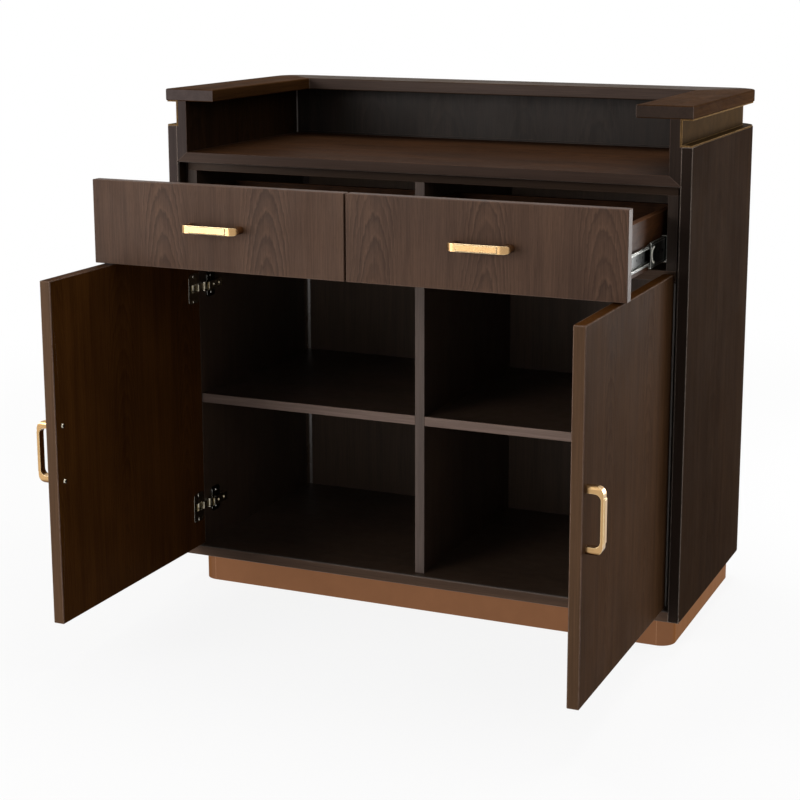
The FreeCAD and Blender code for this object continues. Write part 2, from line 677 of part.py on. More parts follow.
def hinge_arm(z):
    """Arm on the mounting plate: two cheeks round the link, joined behind it."""
    half = LINK_HALF + ARM_GAP + ARM_SIDE
    tall = (z - half, z + half)
    low, high = ARM_FLAT
    nose_d = ARM_PIN[1]
    outline = [(ARM_PIN[0] - ARM_NOSE_R, nose_d), (low, nose_d + ARM_NECK), (low, ARM_END),
               (high, ARM_END), (high, nose_d)]
    body = prism(outline, tall).fuse(disc(ARM_PIN, ARM_NOSE_R, tall))
    gap = LINK_HALF + ARM_GAP
    slot = slab((low - ARM_H, high + ARM_H), (0, nose_d + ARM_NECK), (z - gap, z + gap))
    body = body.cut(slot).fuse(disc(ARM_PIN, PIN_R, (z - gap, z + gap)))
    middle = (nose_d + ARM_NECK + ARM_END) / 2
    for d in (middle - SOCKET_PITCH / 2, middle + SOCKET_PITCH / 2):
        body = body.cut(Part.makeCylinder(*SOCKET, in_plan(low, d, z), Vec(1, 0, 0)))
    return body


def mounting_plate(z):
    """Plate on the carcass side that carries the arm."""
    near, far = PLATE_DEPTHS
    wing = slab((CARCASS_IN - PLATE_T, CARCASS_IN), (near, far), (z - PLATE_HALF, z + PLATE_HALF))
    corners = [edge for edge in wing.Edges if edge.BoundBox.XLength > PLATE_T - 0.01]
    wing = wing.makeFillet(PLATE_ROUND, corners)
    return drilled(wing, PLATE_SCREW, plate_screw_seats(), Vec(1, 0, 0))


def build_hinges():
    """The parts of the hinges that stay with the cabinet, and the links."""
    arms = [hinge_arm(z) for z in HINGE_ZS]
    plates = [mounting_plate(z) for z in HINGE_ZS]
    screws = [screw(PLATE_SCREW, seat, Vec(1, 0, 0)) for seat in plate_screw_seats()]
    for name, shapes in (("hinge_arms", arms), ("hinge_plates", plates), ("plate_screws", screws)):
        save(name, *shapes, *[mirrored(shape) for shape in shapes])
    links = [hinge_link(z) for z in HINGE_ZS]
    for link in links:
        link.rotate(in_plan(ARM_PIN[0], ARM_PIN[1], 0), Z_AXIS, LINK_TURN)
    save("hinge_links_right", *links)
    save("hinge_links_left", *[mirrored(link) for link in links])


def build_door(name, side):
    """One door, drawn shut and then opened square; x is for the right-hand side."""
    bar_x = FRONT_IN + DOOR_BAR_EDGE
    towards = Vec(0, -1, 0)
    seats = [in_plan(bar_x, FRONT_T, DOOR_BAR_Z + dz) for dz in (-HOLE_PITCH / 2, HOLE_PITCH / 2)]
    panel = eased(slab((FRONT_IN, FRONT_OUT), (0, FRONT_T), (DOOR_LOW, DOOR_TOP)), FRONT_ARRIS)
    for z in HINGE_ZS:
        panel = panel.cut(cup_bore(CUP_R, (FRONT_T - CUP_DEEP, FRONT_T), z))
    panel = drilled(panel, BAR_SCREW, seats, towards)
    panel = drilled(panel, CUP_SCREW, cup_screw_seats(), towards)
    pieces = {
        "door_panel_": [panel],
        "door_handle_": [upright_bar(bar_x, 0, DOOR_BAR_Z)],
        "door_screws_": [screw(BAR_SCREW, seat, towards) for seat in seats],
        "hinge_cups_": [hinge_cup(z) for z in HINGE_ZS],
        "cup_screws_": [screw(CUP_SCREW, seat, towards) for seat in cup_screw_seats()],
    }
    for piece, shapes in pieces.items():
        save(piece + name, *[sided(opened(shape), side) for shape in shapes])


def main():
    """Build every node."""
    os.makedirs("parts", exist_ok=True)
    body = joined_front()
    build_cap()
    build_gallery(body)
    build_recess()
    build_skin(body)
    build_carcass(body)
    build_plinth()
    build_slides()
    build_hinges()
    for name, side in (("left", -1), ("right", 1)):
        build_drawer(name, side)
        build_door(name, side)


main()
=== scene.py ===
"""Looks of the waiter service station: veneers, metals, small trim, studio and camera.

The CAD model is loaded as a fixed frame in metres: X across, -Y out of the front, +Z up.
Each sub-assembly is a class that dresses its CAD nodes and adds its own small pieces.
"""
from __future__ import annotations

import json
import logging
import math
from dataclasses import dataclass, replace
from enum import Enum
from typing import Sequence, Union

import bmesh
import bpy
from mathutils import Matrix, Vector

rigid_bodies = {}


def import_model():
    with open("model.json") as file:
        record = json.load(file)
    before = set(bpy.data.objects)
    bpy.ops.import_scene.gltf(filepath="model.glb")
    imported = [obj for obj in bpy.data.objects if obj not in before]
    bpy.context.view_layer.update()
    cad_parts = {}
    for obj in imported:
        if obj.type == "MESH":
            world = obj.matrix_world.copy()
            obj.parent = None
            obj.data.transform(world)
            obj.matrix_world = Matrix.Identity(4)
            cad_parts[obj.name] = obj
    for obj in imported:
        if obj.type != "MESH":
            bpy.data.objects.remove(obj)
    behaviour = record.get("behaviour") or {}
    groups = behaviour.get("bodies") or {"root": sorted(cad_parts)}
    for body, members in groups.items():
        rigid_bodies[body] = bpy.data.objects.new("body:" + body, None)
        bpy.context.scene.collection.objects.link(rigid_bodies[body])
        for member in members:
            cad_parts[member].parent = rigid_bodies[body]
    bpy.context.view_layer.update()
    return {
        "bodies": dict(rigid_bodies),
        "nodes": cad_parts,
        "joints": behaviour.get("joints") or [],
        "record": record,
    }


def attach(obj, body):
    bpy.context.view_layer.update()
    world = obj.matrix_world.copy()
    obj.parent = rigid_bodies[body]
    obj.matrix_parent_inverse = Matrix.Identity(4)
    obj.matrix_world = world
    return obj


LOG = logging.getLogger("service_station")
Colour = tuple[float, float, float]
Pair = tuple[float, float]
Ring = Sequence[tuple[float, float, float]]
Input = Union[float, Sequence[float], bpy.types.NodeSocket]
SIDES = ("left", "right")
SIGNS = (-1, 1)
PICTURE = 800  # width and height of the picture that the camera is given for


def linear(red: int, green: int, blue: int) -> Colour:
    """Turn a display colour into linear light.

    Args:
        red: Red from 0 to 255.
        green: Green from 0 to 255.
        blue: Blue from 0 to 255.

    Returns:
        The linear colour.
    """
    def channel(value: int) -> float:
        share = value / 255
        return share / 12.92 if share <= 0.04045 else ((share + 0.055) / 1.055) ** 2.4
    return channel(red), channel(green), channel(blue)


class GrainAxis(Enum):
    """The direction that a board's grain runs in."""

    ALONG_X = (0.0, math.radians(90), 0.0)
    ALONG_Y = (math.radians(90), 0.0, 0.0)
    ALONG_Z = (0.0, 0.0, 0.0)


class Graph:
    """A small helper that builds one node tree."""

    MIX_INPUTS = (0, 6, 7)  # share, first colour, second colour
    MIX_RESULT = 2

    def __init__(self, tree: bpy.types.NodeTree) -> None:
        """Start on a tree.

        Args:
            tree: The node tree to build in.
        """
        self.tree = tree

    def feed(self, socket: bpy.types.NodeSocket, value: Input) -> None:
        """Link a socket, or set its own value.

        Args:
            socket: The input socket.
            value: Another node's output, a number or a tuple.
        """
        if isinstance(value, bpy.types.NodeSocket):
            self.tree.links.new(value, socket)
        elif isinstance(value, (int, float)):
            socket.default_value = value
        else:
            size = len(socket.default_value)
            socket.default_value = tuple(value) + (1.0,) * (size - len(value))

    def find(self, kind: str) -> bpy.types.Node:
        """Return the node of a type that the tree came with."""
        return next(node for node in self.tree.nodes if node.type == kind)

    def node(self, kind: str, inputs: dict | None = None, **settings: object
             ) -> bpy.types.Node:
        """Add a node.

        Args:
            kind: The node's type name without the ShaderNode prefix.
            inputs: Values or links by input name or index.
            **settings: Attributes of the node.

        Returns:
            The new node.
        """
        made = self.tree.nodes.new("ShaderNode" + kind)
        for name, value in settings.items():
            setattr(made, name, value)
        for key, value in (inputs or {}).items():
            self.feed(made.inputs[key], value)
        return made

    def math(self, operation: str, first: Input, second: Input = 0.0, third: Input = 0.0,
             clamp: bool = False) -> bpy.types.NodeSocket:
        """Add a math node.

        Args:
            operation: Blender's name of the operation.
            first: The first operand.
            second: The second operand.
            third: The third operand, where the operation has one.
            clamp: Whether the result is kept from 0 to 1.

        Returns:
            The result.
        """
        made = self.node("Math", {0: first, 1: second, 2: third}, operation=operation,
                         use_clamp=clamp)
        return made.outputs[0]

    def blend(self, share: Input, low: Input, high: Input) -> bpy.types.NodeSocket:
        """Mix two colours.

        Args:
            share: How much of the second colour.
            low: The first colour.
            high: The second colour.

        Returns:
            The mixed colour.
        """
        made = self.node("Mix", data_type="RGBA")
        for index, part in zip(self.MIX_INPUTS, (share, low, high)):
            self.feed(made.inputs[index], part)
        return made.outputs[self.MIX_RESULT]

    def span(self, value: Input, low: float, high: float, to_low: float = 0.0,
             to_high: float = 1.0) -> bpy.types.NodeSocket:
        """Map a range to another smoothly.

        Args:
            value: The value to map.
            low: Start of the range.
            high: End of the range.
            to_low: Start of the result.
            to_high: End of the result.

        Returns:
            The mapped value.
        """
        made = self.node("MapRange", interpolation_type="SMOOTHSTEP")
        for index, part in enumerate((value, low, high, to_low, to_high)):
            self.feed(made.inputs[index], part)
        return made.outputs[0]

    def noise(self, vector: Input, scale: float, detail: float = 3.0, rough: float = 0.5
              ) -> bpy.types.NodeSocket:
        """Add a noise texture.

        Args:
            vector: Where to sample.
            scale: Features per metre.
            detail: Octaves.
            rough: Weight of the finer octaves.

        Returns:
            The noise from 0 to 1.
        """
        made = self.node("TexNoise", {"Vector": vector, "Scale": scale, "Detail": detail,
                                      "Roughness": rough})
        return made.outputs[0]

    def stretch(self, vector: Input, scale: Sequence[float], offset: Input = (0.0, 0.0, 0.0)
                ) -> bpy.types.NodeSocket:
        """Scale and shift coordinates.

        Args:
            vector: The coordinates.
            scale: Scale on each axis.
            offset: Shift added after scaling.

        Returns:
            The new coordinates.
        """
        made = self.node("VectorMath", {0: vector, 1: scale, 2: offset}, operation="MULTIPLY_ADD")
        return made.outputs[0]


class NodeGroups:
    """Shader effects that several materials share, each built once."""

    SOFT_EDGE = 0.0006  # radius that the light catches, in metres
    RUBBED_LIT_EDGE = 0.0015  # radius in which an edge rubs and takes a painted highlight, in metres
    EDGE_SAMPLES = 4

    def __init__(self) -> None:
        """Build every group."""
        self.grain = self._grain()
        self.figure = self._figure()
        self.wear_and_highlight = self._wear_and_highlight()
        self.handling = self._handling()
        self.brushing = self._brushing()

    @staticmethod
    def _open(name: str, inputs: Sequence[tuple[str, str]], outputs: Sequence[tuple[str, str]]
              ) -> tuple[Graph, bpy.types.Node, bpy.types.Node]:
        """Start a group.

        Args:
            name: The group's name.
            inputs: Name and socket type of each input.
            outputs: Name and socket type of each output.

        Returns:
            The graph, the input node and the output node.
        """
        tree = bpy.data.node_groups.new(name, "ShaderNodeTree")
        for in_out, sockets in (("INPUT", inputs), ("OUTPUT", outputs)):
            for label, kind in sockets:
                tree.interface.new_socket(label, in_out=in_out, socket_type="NodeSocket" + kind)
        return (Graph(tree), tree.nodes.new("NodeGroupInput"), tree.nodes.new("NodeGroupOutput"))

    @staticmethod
    def _sway(graph: Graph, noise: Input, reach: float) -> bpy.types.NodeSocket:
        """Centre a noise on zero, with a full reach."""
        return graph.math("MULTIPLY_ADD", noise, reach, -reach / 2)

    def _grain(self) -> bpy.types.NodeTree:
        """Fine straight grain: streaks, open pores and their height.

        Returns:
            The group.
        """
        graph, start, end = self._open(
            "straight_grain", [("Vector", "Vector"), ("Seed", "Float")],
            [("Streak", "Float"), ("Pore", "Float"), ("Height", "Float")])
        shift = graph.node("CombineXYZ", {0: graph.math("MULTIPLY", start.outputs["Seed"], 3.7),
                                          1: start.outputs["Seed"], 2: 0.0}).outputs[0]
        base = start.outputs["Vector"]
        fine = graph.noise(graph.stretch(base, (1, 1, 0.018), shift), 620, 4, 0.62)
        broad = graph.noise(graph.stretch(base, (1, 1, 0.03), shift), 62, 3, 0.55)
        streak = graph.math("ADD", graph.math("MULTIPLY", fine, 0.6),
                            graph.math("MULTIPLY", broad, 0.4))
        pores = graph.noise(graph.stretch(base, (1, 1, 0.035), shift), 1500, 2, 0.5)
        pore = graph.span(pores, 0.56, 0.7)
        height = graph.math("SUBTRACT", graph.math("MULTIPLY", fine, 0.35), pore)
        graph.feed(end.inputs["Streak"], graph.span(streak, 0.36, 0.64))
        graph.feed(end.inputs["Pore"], pore)
        graph.feed(end.inputs["Height"], height)
        return graph.tree

    def _figure(self) -> bpy.types.NodeTree:
        """Cathedral figure: nested arches repeated from leaf to leaf, straight lines between.

        Returns:
            The group.
        """
        graph, start, end = self._open(
            "cathedral_figure",
            [("Vector", "Vector"), ("Shift", "Float"), ("Leaf", "Float"), ("Slope", "Float"),
             ("Ring", "Float"), ("Foot", "Float")],
            [("Line", "Float"), ("Light", "Float"), ("Band", "Float")])
        place = start.outputs["Vector"]
        parts = graph.node("SeparateXYZ", {0: place})
        wander = graph.noise(graph.stretch(place, (1, 1, 0.5)), 11, 2, 0.5)
        wave = graph.noise(graph.stretch(place, (1, 1, 0.45)), 34, 3, 0.6)
        across = graph.math("ADD", parts.outputs[0], parts.outputs[1])
        across = graph.math("ADD", across, start.outputs["Shift"])
        turn = graph.math("DIVIDE", across, start.outputs["Leaf"])
        number = graph.math("FLOOR", turn)
        local = graph.math("SUBTRACT", graph.math("FRACT", turn), 0.5)
        local = graph.math("MULTIPLY", local, start.outputs["Leaf"])
        local = graph.math("ADD", local, self._sway(graph, wander, 0.022))
        local = graph.math("ADD", local, self._sway(graph, wave, 0.008))
        stagger = graph.node("TexWhiteNoise", {"W": number}, noise_dimensions="1D").outputs[0]
        climb = graph.math("SUBTRACT", parts.outputs[2], start.outputs["Foot"])
        climb = graph.math("ADD", climb, graph.math("MULTIPLY", stagger, 0.03))
        climb = graph.math("MULTIPLY", climb, start.outputs["Slope"])
        far = graph.math("SQRT", graph.math(
            "ADD", graph.math("MULTIPLY", local, local), graph.math("MULTIPLY", climb, climb)))
        rings = graph.math("DIVIDE", far, start.outputs["Ring"])
        fine = graph.noise(graph.stretch(place, (1, 1, 0.3)), 210, 2, 0.6)
        rings = graph.math("ADD", rings, self._sway(graph, fine, 0.7))
        saw = graph.math("FRACT", rings)
        line = graph.math("MULTIPLY", graph.span(saw, 0.5, 0.93), graph.span(saw, 1.0, 0.93))
        light = graph.math("MULTIPLY", graph.span(saw, 0.0, 0.12), graph.span(saw, 0.42, 0.12))
        spread = graph.math("ABSOLUTE", local)
        fade = graph.span(spread, 0.026, 0.056, 1.0, 0.12)
        depth = graph.noise(graph.node("CombineXYZ", {0: rings, 1: number, 2: 0.0}).outputs[0],
                            0.9, 1, 0.5)
        fade = graph.math("MULTIPLY", fade, graph.span(depth, 0.3, 0.6, 0.35, 1.0))
        graph.feed(end.inputs["Line"], graph.math("MULTIPLY", line, fade))
        graph.feed(end.inputs["Light"], graph.math("MULTIPLY", light, fade))
        graph.feed(end.inputs["Band"], graph.span(wander, 0.3, 0.7))
        return graph.tree

    def _wear_and_highlight(self) -> bpy.types.NodeTree:
        """Rounded edges for the light to catch, and a mask of where they rub and take a painted
        highlight.

        Returns:
            The group.
        """
        graph, start, end = self._open(
            "edge_wear", [("Vector", "Vector"), ("Amount", "Float")],
            [("Mask", "Float"), ("Normal", "Vector")])
        soft = graph.node("Bevel", {"Radius": self.SOFT_EDGE}, samples=self.EDGE_SAMPLES)
        wide = graph.node("Bevel", {"Radius": self.RUBBED_LIT_EDGE}, samples=self.EDGE_SAMPLES)
        flat = graph.node("NewGeometry")
        dot = graph.node("VectorMath", {0: wide.outputs[0], 1: flat.outputs["Normal"]},
                         operation="DOT_PRODUCT")
        edge = graph.span(dot.outputs["Value"], 0.99, 0.86)
        patchy = graph.span(graph.noise(start.outputs["Vector"], 60, 3, 0.6), 0.2, 0.5, 0.35, 1.0)
        mask = graph.math("MULTIPLY", graph.math("MULTIPLY", edge, patchy),
                          start.outputs["Amount"], clamp=True)
        graph.feed(end.inputs["Mask"], mask)
        graph.feed(end.inputs["Normal"], soft.outputs[0])
        return graph.tree

    def _handling(self) -> bpy.types.NodeTree:
        """Faint smudges in a lacquer and dust that settles on level faces.

        Returns:
            The group.
        """
        graph, start, end = self._open(
            "handling", [("Vector", "Vector")], [("Smudge", "Float"), ("Dust", "Float")])
        cloud = graph.noise(start.outputs["Vector"], 9, 4, 0.6)
        rub = graph.noise(graph.stretch(start.outputs["Vector"], (1.6, 1.6, 0.6)), 34, 2, 0.5)
        smudge = graph.math("ADD", graph.math("MULTIPLY", cloud, 0.65),
                            graph.math("MULTIPLY", rub, 0.35))
        normal = graph.node("SeparateXYZ", {0: graph.node("NewGeometry").outputs["Normal"]})
        speck = graph.span(graph.noise(start.outputs["Vector"], 420, 2, 0.6), 0.55, 0.75)
        up = graph.span(normal.outputs[2], 0.6, 1.0)
        graph.feed(end.inputs["Smudge"], graph.span(smudge, 0.34, 0.68))
        graph.feed(end.inputs["Dust"], graph.math("MULTIPLY", up, speck))
        return graph.tree

    def _brushing(self) -> bpy.types.NodeTree:
        """Fine brushing lines of a drawn or plated metal.

        Returns:
            The group.
        """
        graph, start, end = self._open(
            "brushing", [("Vector", "Vector")], [("Line", "Float"), ("Cloud", "Float")])
        lines = graph.noise(graph.stretch(start.outputs["Vector"], (0.02, 1, 1)), 2600, 3, 0.7)
        cloud = graph.noise(start.outputs["Vector"], 40, 4, 0.55)
        graph.feed(end.inputs["Line"], graph.span(lines, 0.3, 0.7))
        graph.feed(end.inputs["Cloud"], graph.span(cloud, 0.3, 0.7))
        return graph.tree


class Finish:
    """Common work of every material."""

    SQUARE_ON = (0.8, 0.95)  # how far a face has turned to an axis: not yet, fully

    @staticmethod
    def open(name: str) -> tuple[bpy.types.Material, Graph, bpy.types.Node]:
        """Start a material with a Principled shader.

        Args:
            name: The material's name.

        Returns:
            The material, its graph and its Principled node.
        """
        material = bpy.data.materials.new(name)
        material.use_nodes = True
        graph = Graph(material.node_tree)
        return material, graph, graph.find("BSDF_PRINCIPLED")

    @staticmethod
    def group(graph: Graph, tree: bpy.types.NodeTree, **inputs: Input) -> bpy.types.Node:
        """Add a group node.

        Args:
            graph: The material's graph.
            tree: The group.
            **inputs: Its inputs by name.

        Returns:
            The group node.
        """
        made = graph.node("Group", node_tree=tree)
        for name, value in inputs.items():
            graph.feed(made.inputs[name], value)
        return made

    @staticmethod
    def facing(graph: Graph, axis: int) -> bpy.types.NodeSocket:
        """Read one part of the object's own normal.

        Args:
            graph: The material's graph.
            axis: 0 for X, 1 for Y, 2 for Z.

        Returns:
            The part, from -1 to 1.
        """
        normal = graph.node("TexCoord").outputs["Normal"]
        return graph.node("SeparateXYZ", {0: normal}).outputs[axis]


@dataclass(frozen=True)
class Veneer(Finish):
    """Stained walnut veneer under satin lacquer.

    Attributes:
        name: Material name.
        early: Colour of the light early wood.
        late: Colour of the dark late wood.
        axis: Grain direction.
        figure: Strength of the cathedral figure.
        leaf: Width of a veneer leaf in metres.
        shift: Sideways shift of the leaves in metres.
        foot: Height of the arches' common centre in metres.
        ring: Ring spacing in metres.
        slope: How steeply the rings are cut.
        rough: Roughness of the lacquer.
        gloss: Specular level of the lacquer.
        wear_and_highlight: Strength of the rubbed edges and of their painted highlight.
        arris: Colour of the rubbed edges, light as a painted highlight.
        banding_and_sheen: Colour of the edging, with a painted sheen, on faces that look out of
            the front, or None.
        band_gloss: Specular level of the edging.
        front_wear_and_highlight: Whether mostly the edges at the front are rubbed and take the
            painted highlight.
        show: Light and dark wood of the door's outer face, greyer than the rest as a painted
            sheen, or None.
        sheen_side: Which way along X that outer face looks when the door stands open.
    """

    name: str
    early: Colour
    late: Colour
    axis: GrainAxis = GrainAxis.ALONG_Z
    figure: float = 0.5
    leaf: float = 0.19
    shift: float = 0.0
    foot: float = 0.45
    ring: float = 0.0065
    slope: float = 0.125
    rough: float = 0.42
    gloss: float = 0.3
    wear_and_highlight: float = 0.5
    arris: Colour = linear(118, 98, 88)
    banding_and_sheen: Colour | None = None
    band_gloss: float = 0.06
    front_wear_and_highlight: bool = False
    show: tuple[Colour, Colour] | None = None
    sheen_side: float = 1.0

    FRONT_DEPTHS = (-0.232, -0.2)  # Y over which the rubbing and painted highlight of the front edges end
    REAR_WEAR_AND_HIGHLIGHT = 0.12  # share of the rubbing and painted highlight that is left behind them
    SEED_SPREAD = 5.0
    LINE_SHADE, PORE_SHADE, BAND_SHADE = 0.6, 0.45, 0.7  # of the wood that they lie in
    PORE_SHARE, DUST_SHARE = 0.35, 0.03
    DUST = linear(170, 165, 158)

    def build(self, groups: NodeGroups) -> bpy.types.Material:
        """Build the material.

        Args:
            groups: The shared shader groups.

        Returns:
            The material.
        """
        material, graph, shader = self.open(self.name)
        place = graph.node("TexCoord").outputs["Object"]
        turn = graph.node("VectorRotate", {"Vector": place, "Rotation": self.axis.value},
                          rotation_type="EULER_XYZ").outputs[0]
        seed = graph.math("MULTIPLY", graph.node("ObjectInfo").outputs["Random"],
                          self.SEED_SPREAD)
        grain = self.group(graph, groups.grain, Vector=turn, Seed=seed)
        figure = self.group(graph, groups.figure, Vector=turn, Shift=self.shift, Leaf=self.leaf,
                            Slope=self.slope, Ring=self.ring, Foot=self.foot)
        amount: Input = self.wear_and_highlight
        if self.front_wear_and_highlight:
            depth = graph.node("SeparateXYZ", {0: place}).outputs[1]
            amount = graph.span(depth, *self.FRONT_DEPTHS, self.wear_and_highlight,
                                self.REAR_WEAR_AND_HIGHLIGHT * self.wear_and_highlight)
        wear_and_highlight = self.group(graph, groups.wear_and_highlight, Vector=place, Amount=amount)
        hand = self.group(graph, groups.handling, Vector=place)
        line = graph.math("MULTIPLY", figure.outputs["Line"], self.figure)
        tone = graph.math("ADD", graph.math("MULTIPLY", grain.outputs["Streak"], 0.5),
                          graph.math("MULTIPLY", figure.outputs["Band"], 0.25))
        tone = graph.math("ADD", tone, graph.math("MULTIPLY", figure.outputs["Light"],
                                                  0.5 * self.figure), clamp=True)
        colour = graph.blend(tone, self.late, self.early)
        # The door's outer face gets its own greyer wood: painted sheen.
        if self.show is not None:
            outer = graph.math("MULTIPLY", self.facing(graph, 0), self.sheen_side)
            sheen_colour = graph.blend(tone, self.show[1], self.show[0])
            colour = graph.blend(graph.span(outer, *self.SQUARE_ON), colour, sheen_colour)
        colour = graph.blend(line, colour, tuple(self.LINE_SHADE * part for part in self.late))
        pore = graph.math("MULTIPLY", grain.outputs["Pore"], self.PORE_SHARE)
        colour = graph.blend(pore, colour, tuple(self.PORE_SHADE * part for part in self.late))
        gloss: Input = self.gloss
        # Faces that look out of the front take the edging colour: edge banding with a painted
        # sheen.
        if self.banding_and_sheen is not None:
            band_and_sheen = graph.span(self.facing(graph, 1), *(-turn for turn in self.SQUARE_ON))
            colour = graph.blend(band_and_sheen, colour, self.band_and_sheen_colour(graph, grain))
            gloss = graph.math("MULTIPLY_ADD", band_and_sheen, self.band_gloss - self.gloss, self.gloss)
        # Edges: rubbed wood with a painted highlight.
        colour = graph.blend(wear_and_highlight.outputs["Mask"], colour, self.arris)
        dust = graph.math("MULTIPLY", hand.outputs["Dust"], self.DUST_SHARE)
        colour = graph.blend(dust, colour, self.DUST)
        rough = graph.math("ADD", graph.math("MULTIPLY", hand.outputs["Smudge"], 0.09),
                           graph.math("MULTIPLY", grain.outputs["Pore"], 0.08))
        rough = graph.math("ADD", rough, self.rough - 0.05)
        height = graph.math("SUBTRACT", grain.outputs["Height"],
                            graph.math("MULTIPLY", line, 0.3))
        bump = graph.node("Bump", {"Strength": 0.12, "Distance": 0.0002, "Height": height,
                                   "Normal": wear_and_highlight.outputs["Normal"]})
        graph.feed(shader.inputs["Base Color"], colour)
        graph.feed(shader.inputs["Roughness"], rough)
        graph.feed(shader.inputs["Normal"], bump.outputs[0])
        graph.feed(shader.inputs["Specular IOR Level"], gloss)
        return material

    def band_and_sheen_colour(self, graph: Graph, grain: bpy.types.Node) -> bpy.types.NodeSocket:
        """Colour of the edging with its own fine grain and a painted sheen.

        Args:
            graph: The material's graph.
            grain: The grain group's node.

        Returns:
            The colour.
        """
        dark = tuple(self.BAND_SHADE * part for part in self.banding_and_sheen)
        return graph.blend(grain.outputs["Streak"], dark, self.banding_and_sheen)


@dataclass(frozen=True)
class Metal(Finish):
    """A plated, drawn or anodised metal.

    Attributes:
        name: Material name.
        tone: Colour of the clean metal.
        dulled_and_shaded: Colour where it has dulled, and of the painted shade on the undersides.
        rough: Roughness.
        metallic: How metallic it is.
        brush: Strength of the brushing lines.
        cloud: How cloudy the finish is.
        wear_and_highlight: Strength of the bright edges, worn metal with a painted highlight.
        bright: Colour of the bright edges, worn metal with a painted highlight.
        shade: How much painted shade darkens the undersides.
        gloss: Specular level.
        web: Colour of the faces that look sideways, a painted shade of the recessed web, or None.
        rim: Tint of the mirror image at a low angle.
    """

    name: str
    tone: Colour
    dulled_and_shaded: Colour
    rough: float = 0.28
    metallic: float = 1.0
    brush: float = 0.5
    cloud: float = 0.5
    wear_and_highlight: float = 0.5
    bright: Colour = linear(235, 232, 225)
    shade: float = 0.0
    gloss: float = 0.5
    web: Colour | None = None
    rim: Colour = (1.0, 1.0, 1.0)

    LINE_SHARE, LINE_ROUGH = 0.25, 0.12  # of the brushing lines in colour and roughness
    SHADED_UNDERSIDE = (0.3, -0.7)  # how far a face has turned down for the painted shade: not yet, fully

    def build(self, groups: NodeGroups) -> bpy.types.Material:
        """Build the material.

        Args:
            groups: The shared shader groups.

        Returns:
            The material.
        """
        material, graph, shader = self.open(self.name)
        place = graph.node("TexCoord").outputs["Object"]
        brush = self.group(graph, groups.brushing, Vector=place)
        wear_and_highlight = self.group(graph, groups.wear_and_highlight, Vector=place, Amount=self.wear_and_highlight)
        hand = self.group(graph, groups.handling, Vector=place)
        share = graph.math("MULTIPLY", brush.outputs["Cloud"], self.cloud)
        # Painted shade on the faces that look down.
        under = graph.span(self.facing(graph, 2), *self.SHADED_UNDERSIDE, 0.0, self.shade)
        colour = graph.blend(graph.math("MAXIMUM", share, under), self.tone, self.dulled_and_shaded)
        # Painted shade on faces that look along X, such as a slide's recessed web.
        if self.web is not None:
            sideways = graph.math("ABSOLUTE", self.facing(graph, 0))
            colour = graph.blend(graph.span(sideways, *self.SQUARE_ON), colour, self.web)
        line = graph.math("MULTIPLY", brush.outputs["Line"], self.LINE_SHARE * self.brush)
        colour = graph.blend(line, colour, self.dulled_and_shaded)
        # Edges: worn bright metal with a painted highlight.
        colour = graph.blend(wear_and_highlight.outputs["Mask"], colour, self.bright)
        rough = graph.math("ADD", graph.math("MULTIPLY", brush.outputs["Line"],
                                             self.LINE_ROUGH * self.brush),
                           graph.math("MULTIPLY", hand.outputs["Smudge"], 0.08))
        rough = graph.math("ADD", rough, self.rough - 0.06)
        bump = graph.node("Bump", {"Strength": 0.06, "Distance": 0.0001,
                                   "Height": brush.outputs["Line"],
                                   "Normal": wear_and_highlight.outputs["Normal"]})
        graph.feed(shader.inputs["Base Color"], colour)
        graph.feed(shader.inputs["Metallic"], self.metallic)
        graph.feed(shader.inputs["Specular IOR Level"], self.gloss)
        graph.feed(shader.inputs["Specular Tint"], self.rim)
        graph.feed(shader.inputs["Roughness"], rough)
        graph.feed(shader.inputs["Normal"], bump.outputs[0])
        return material


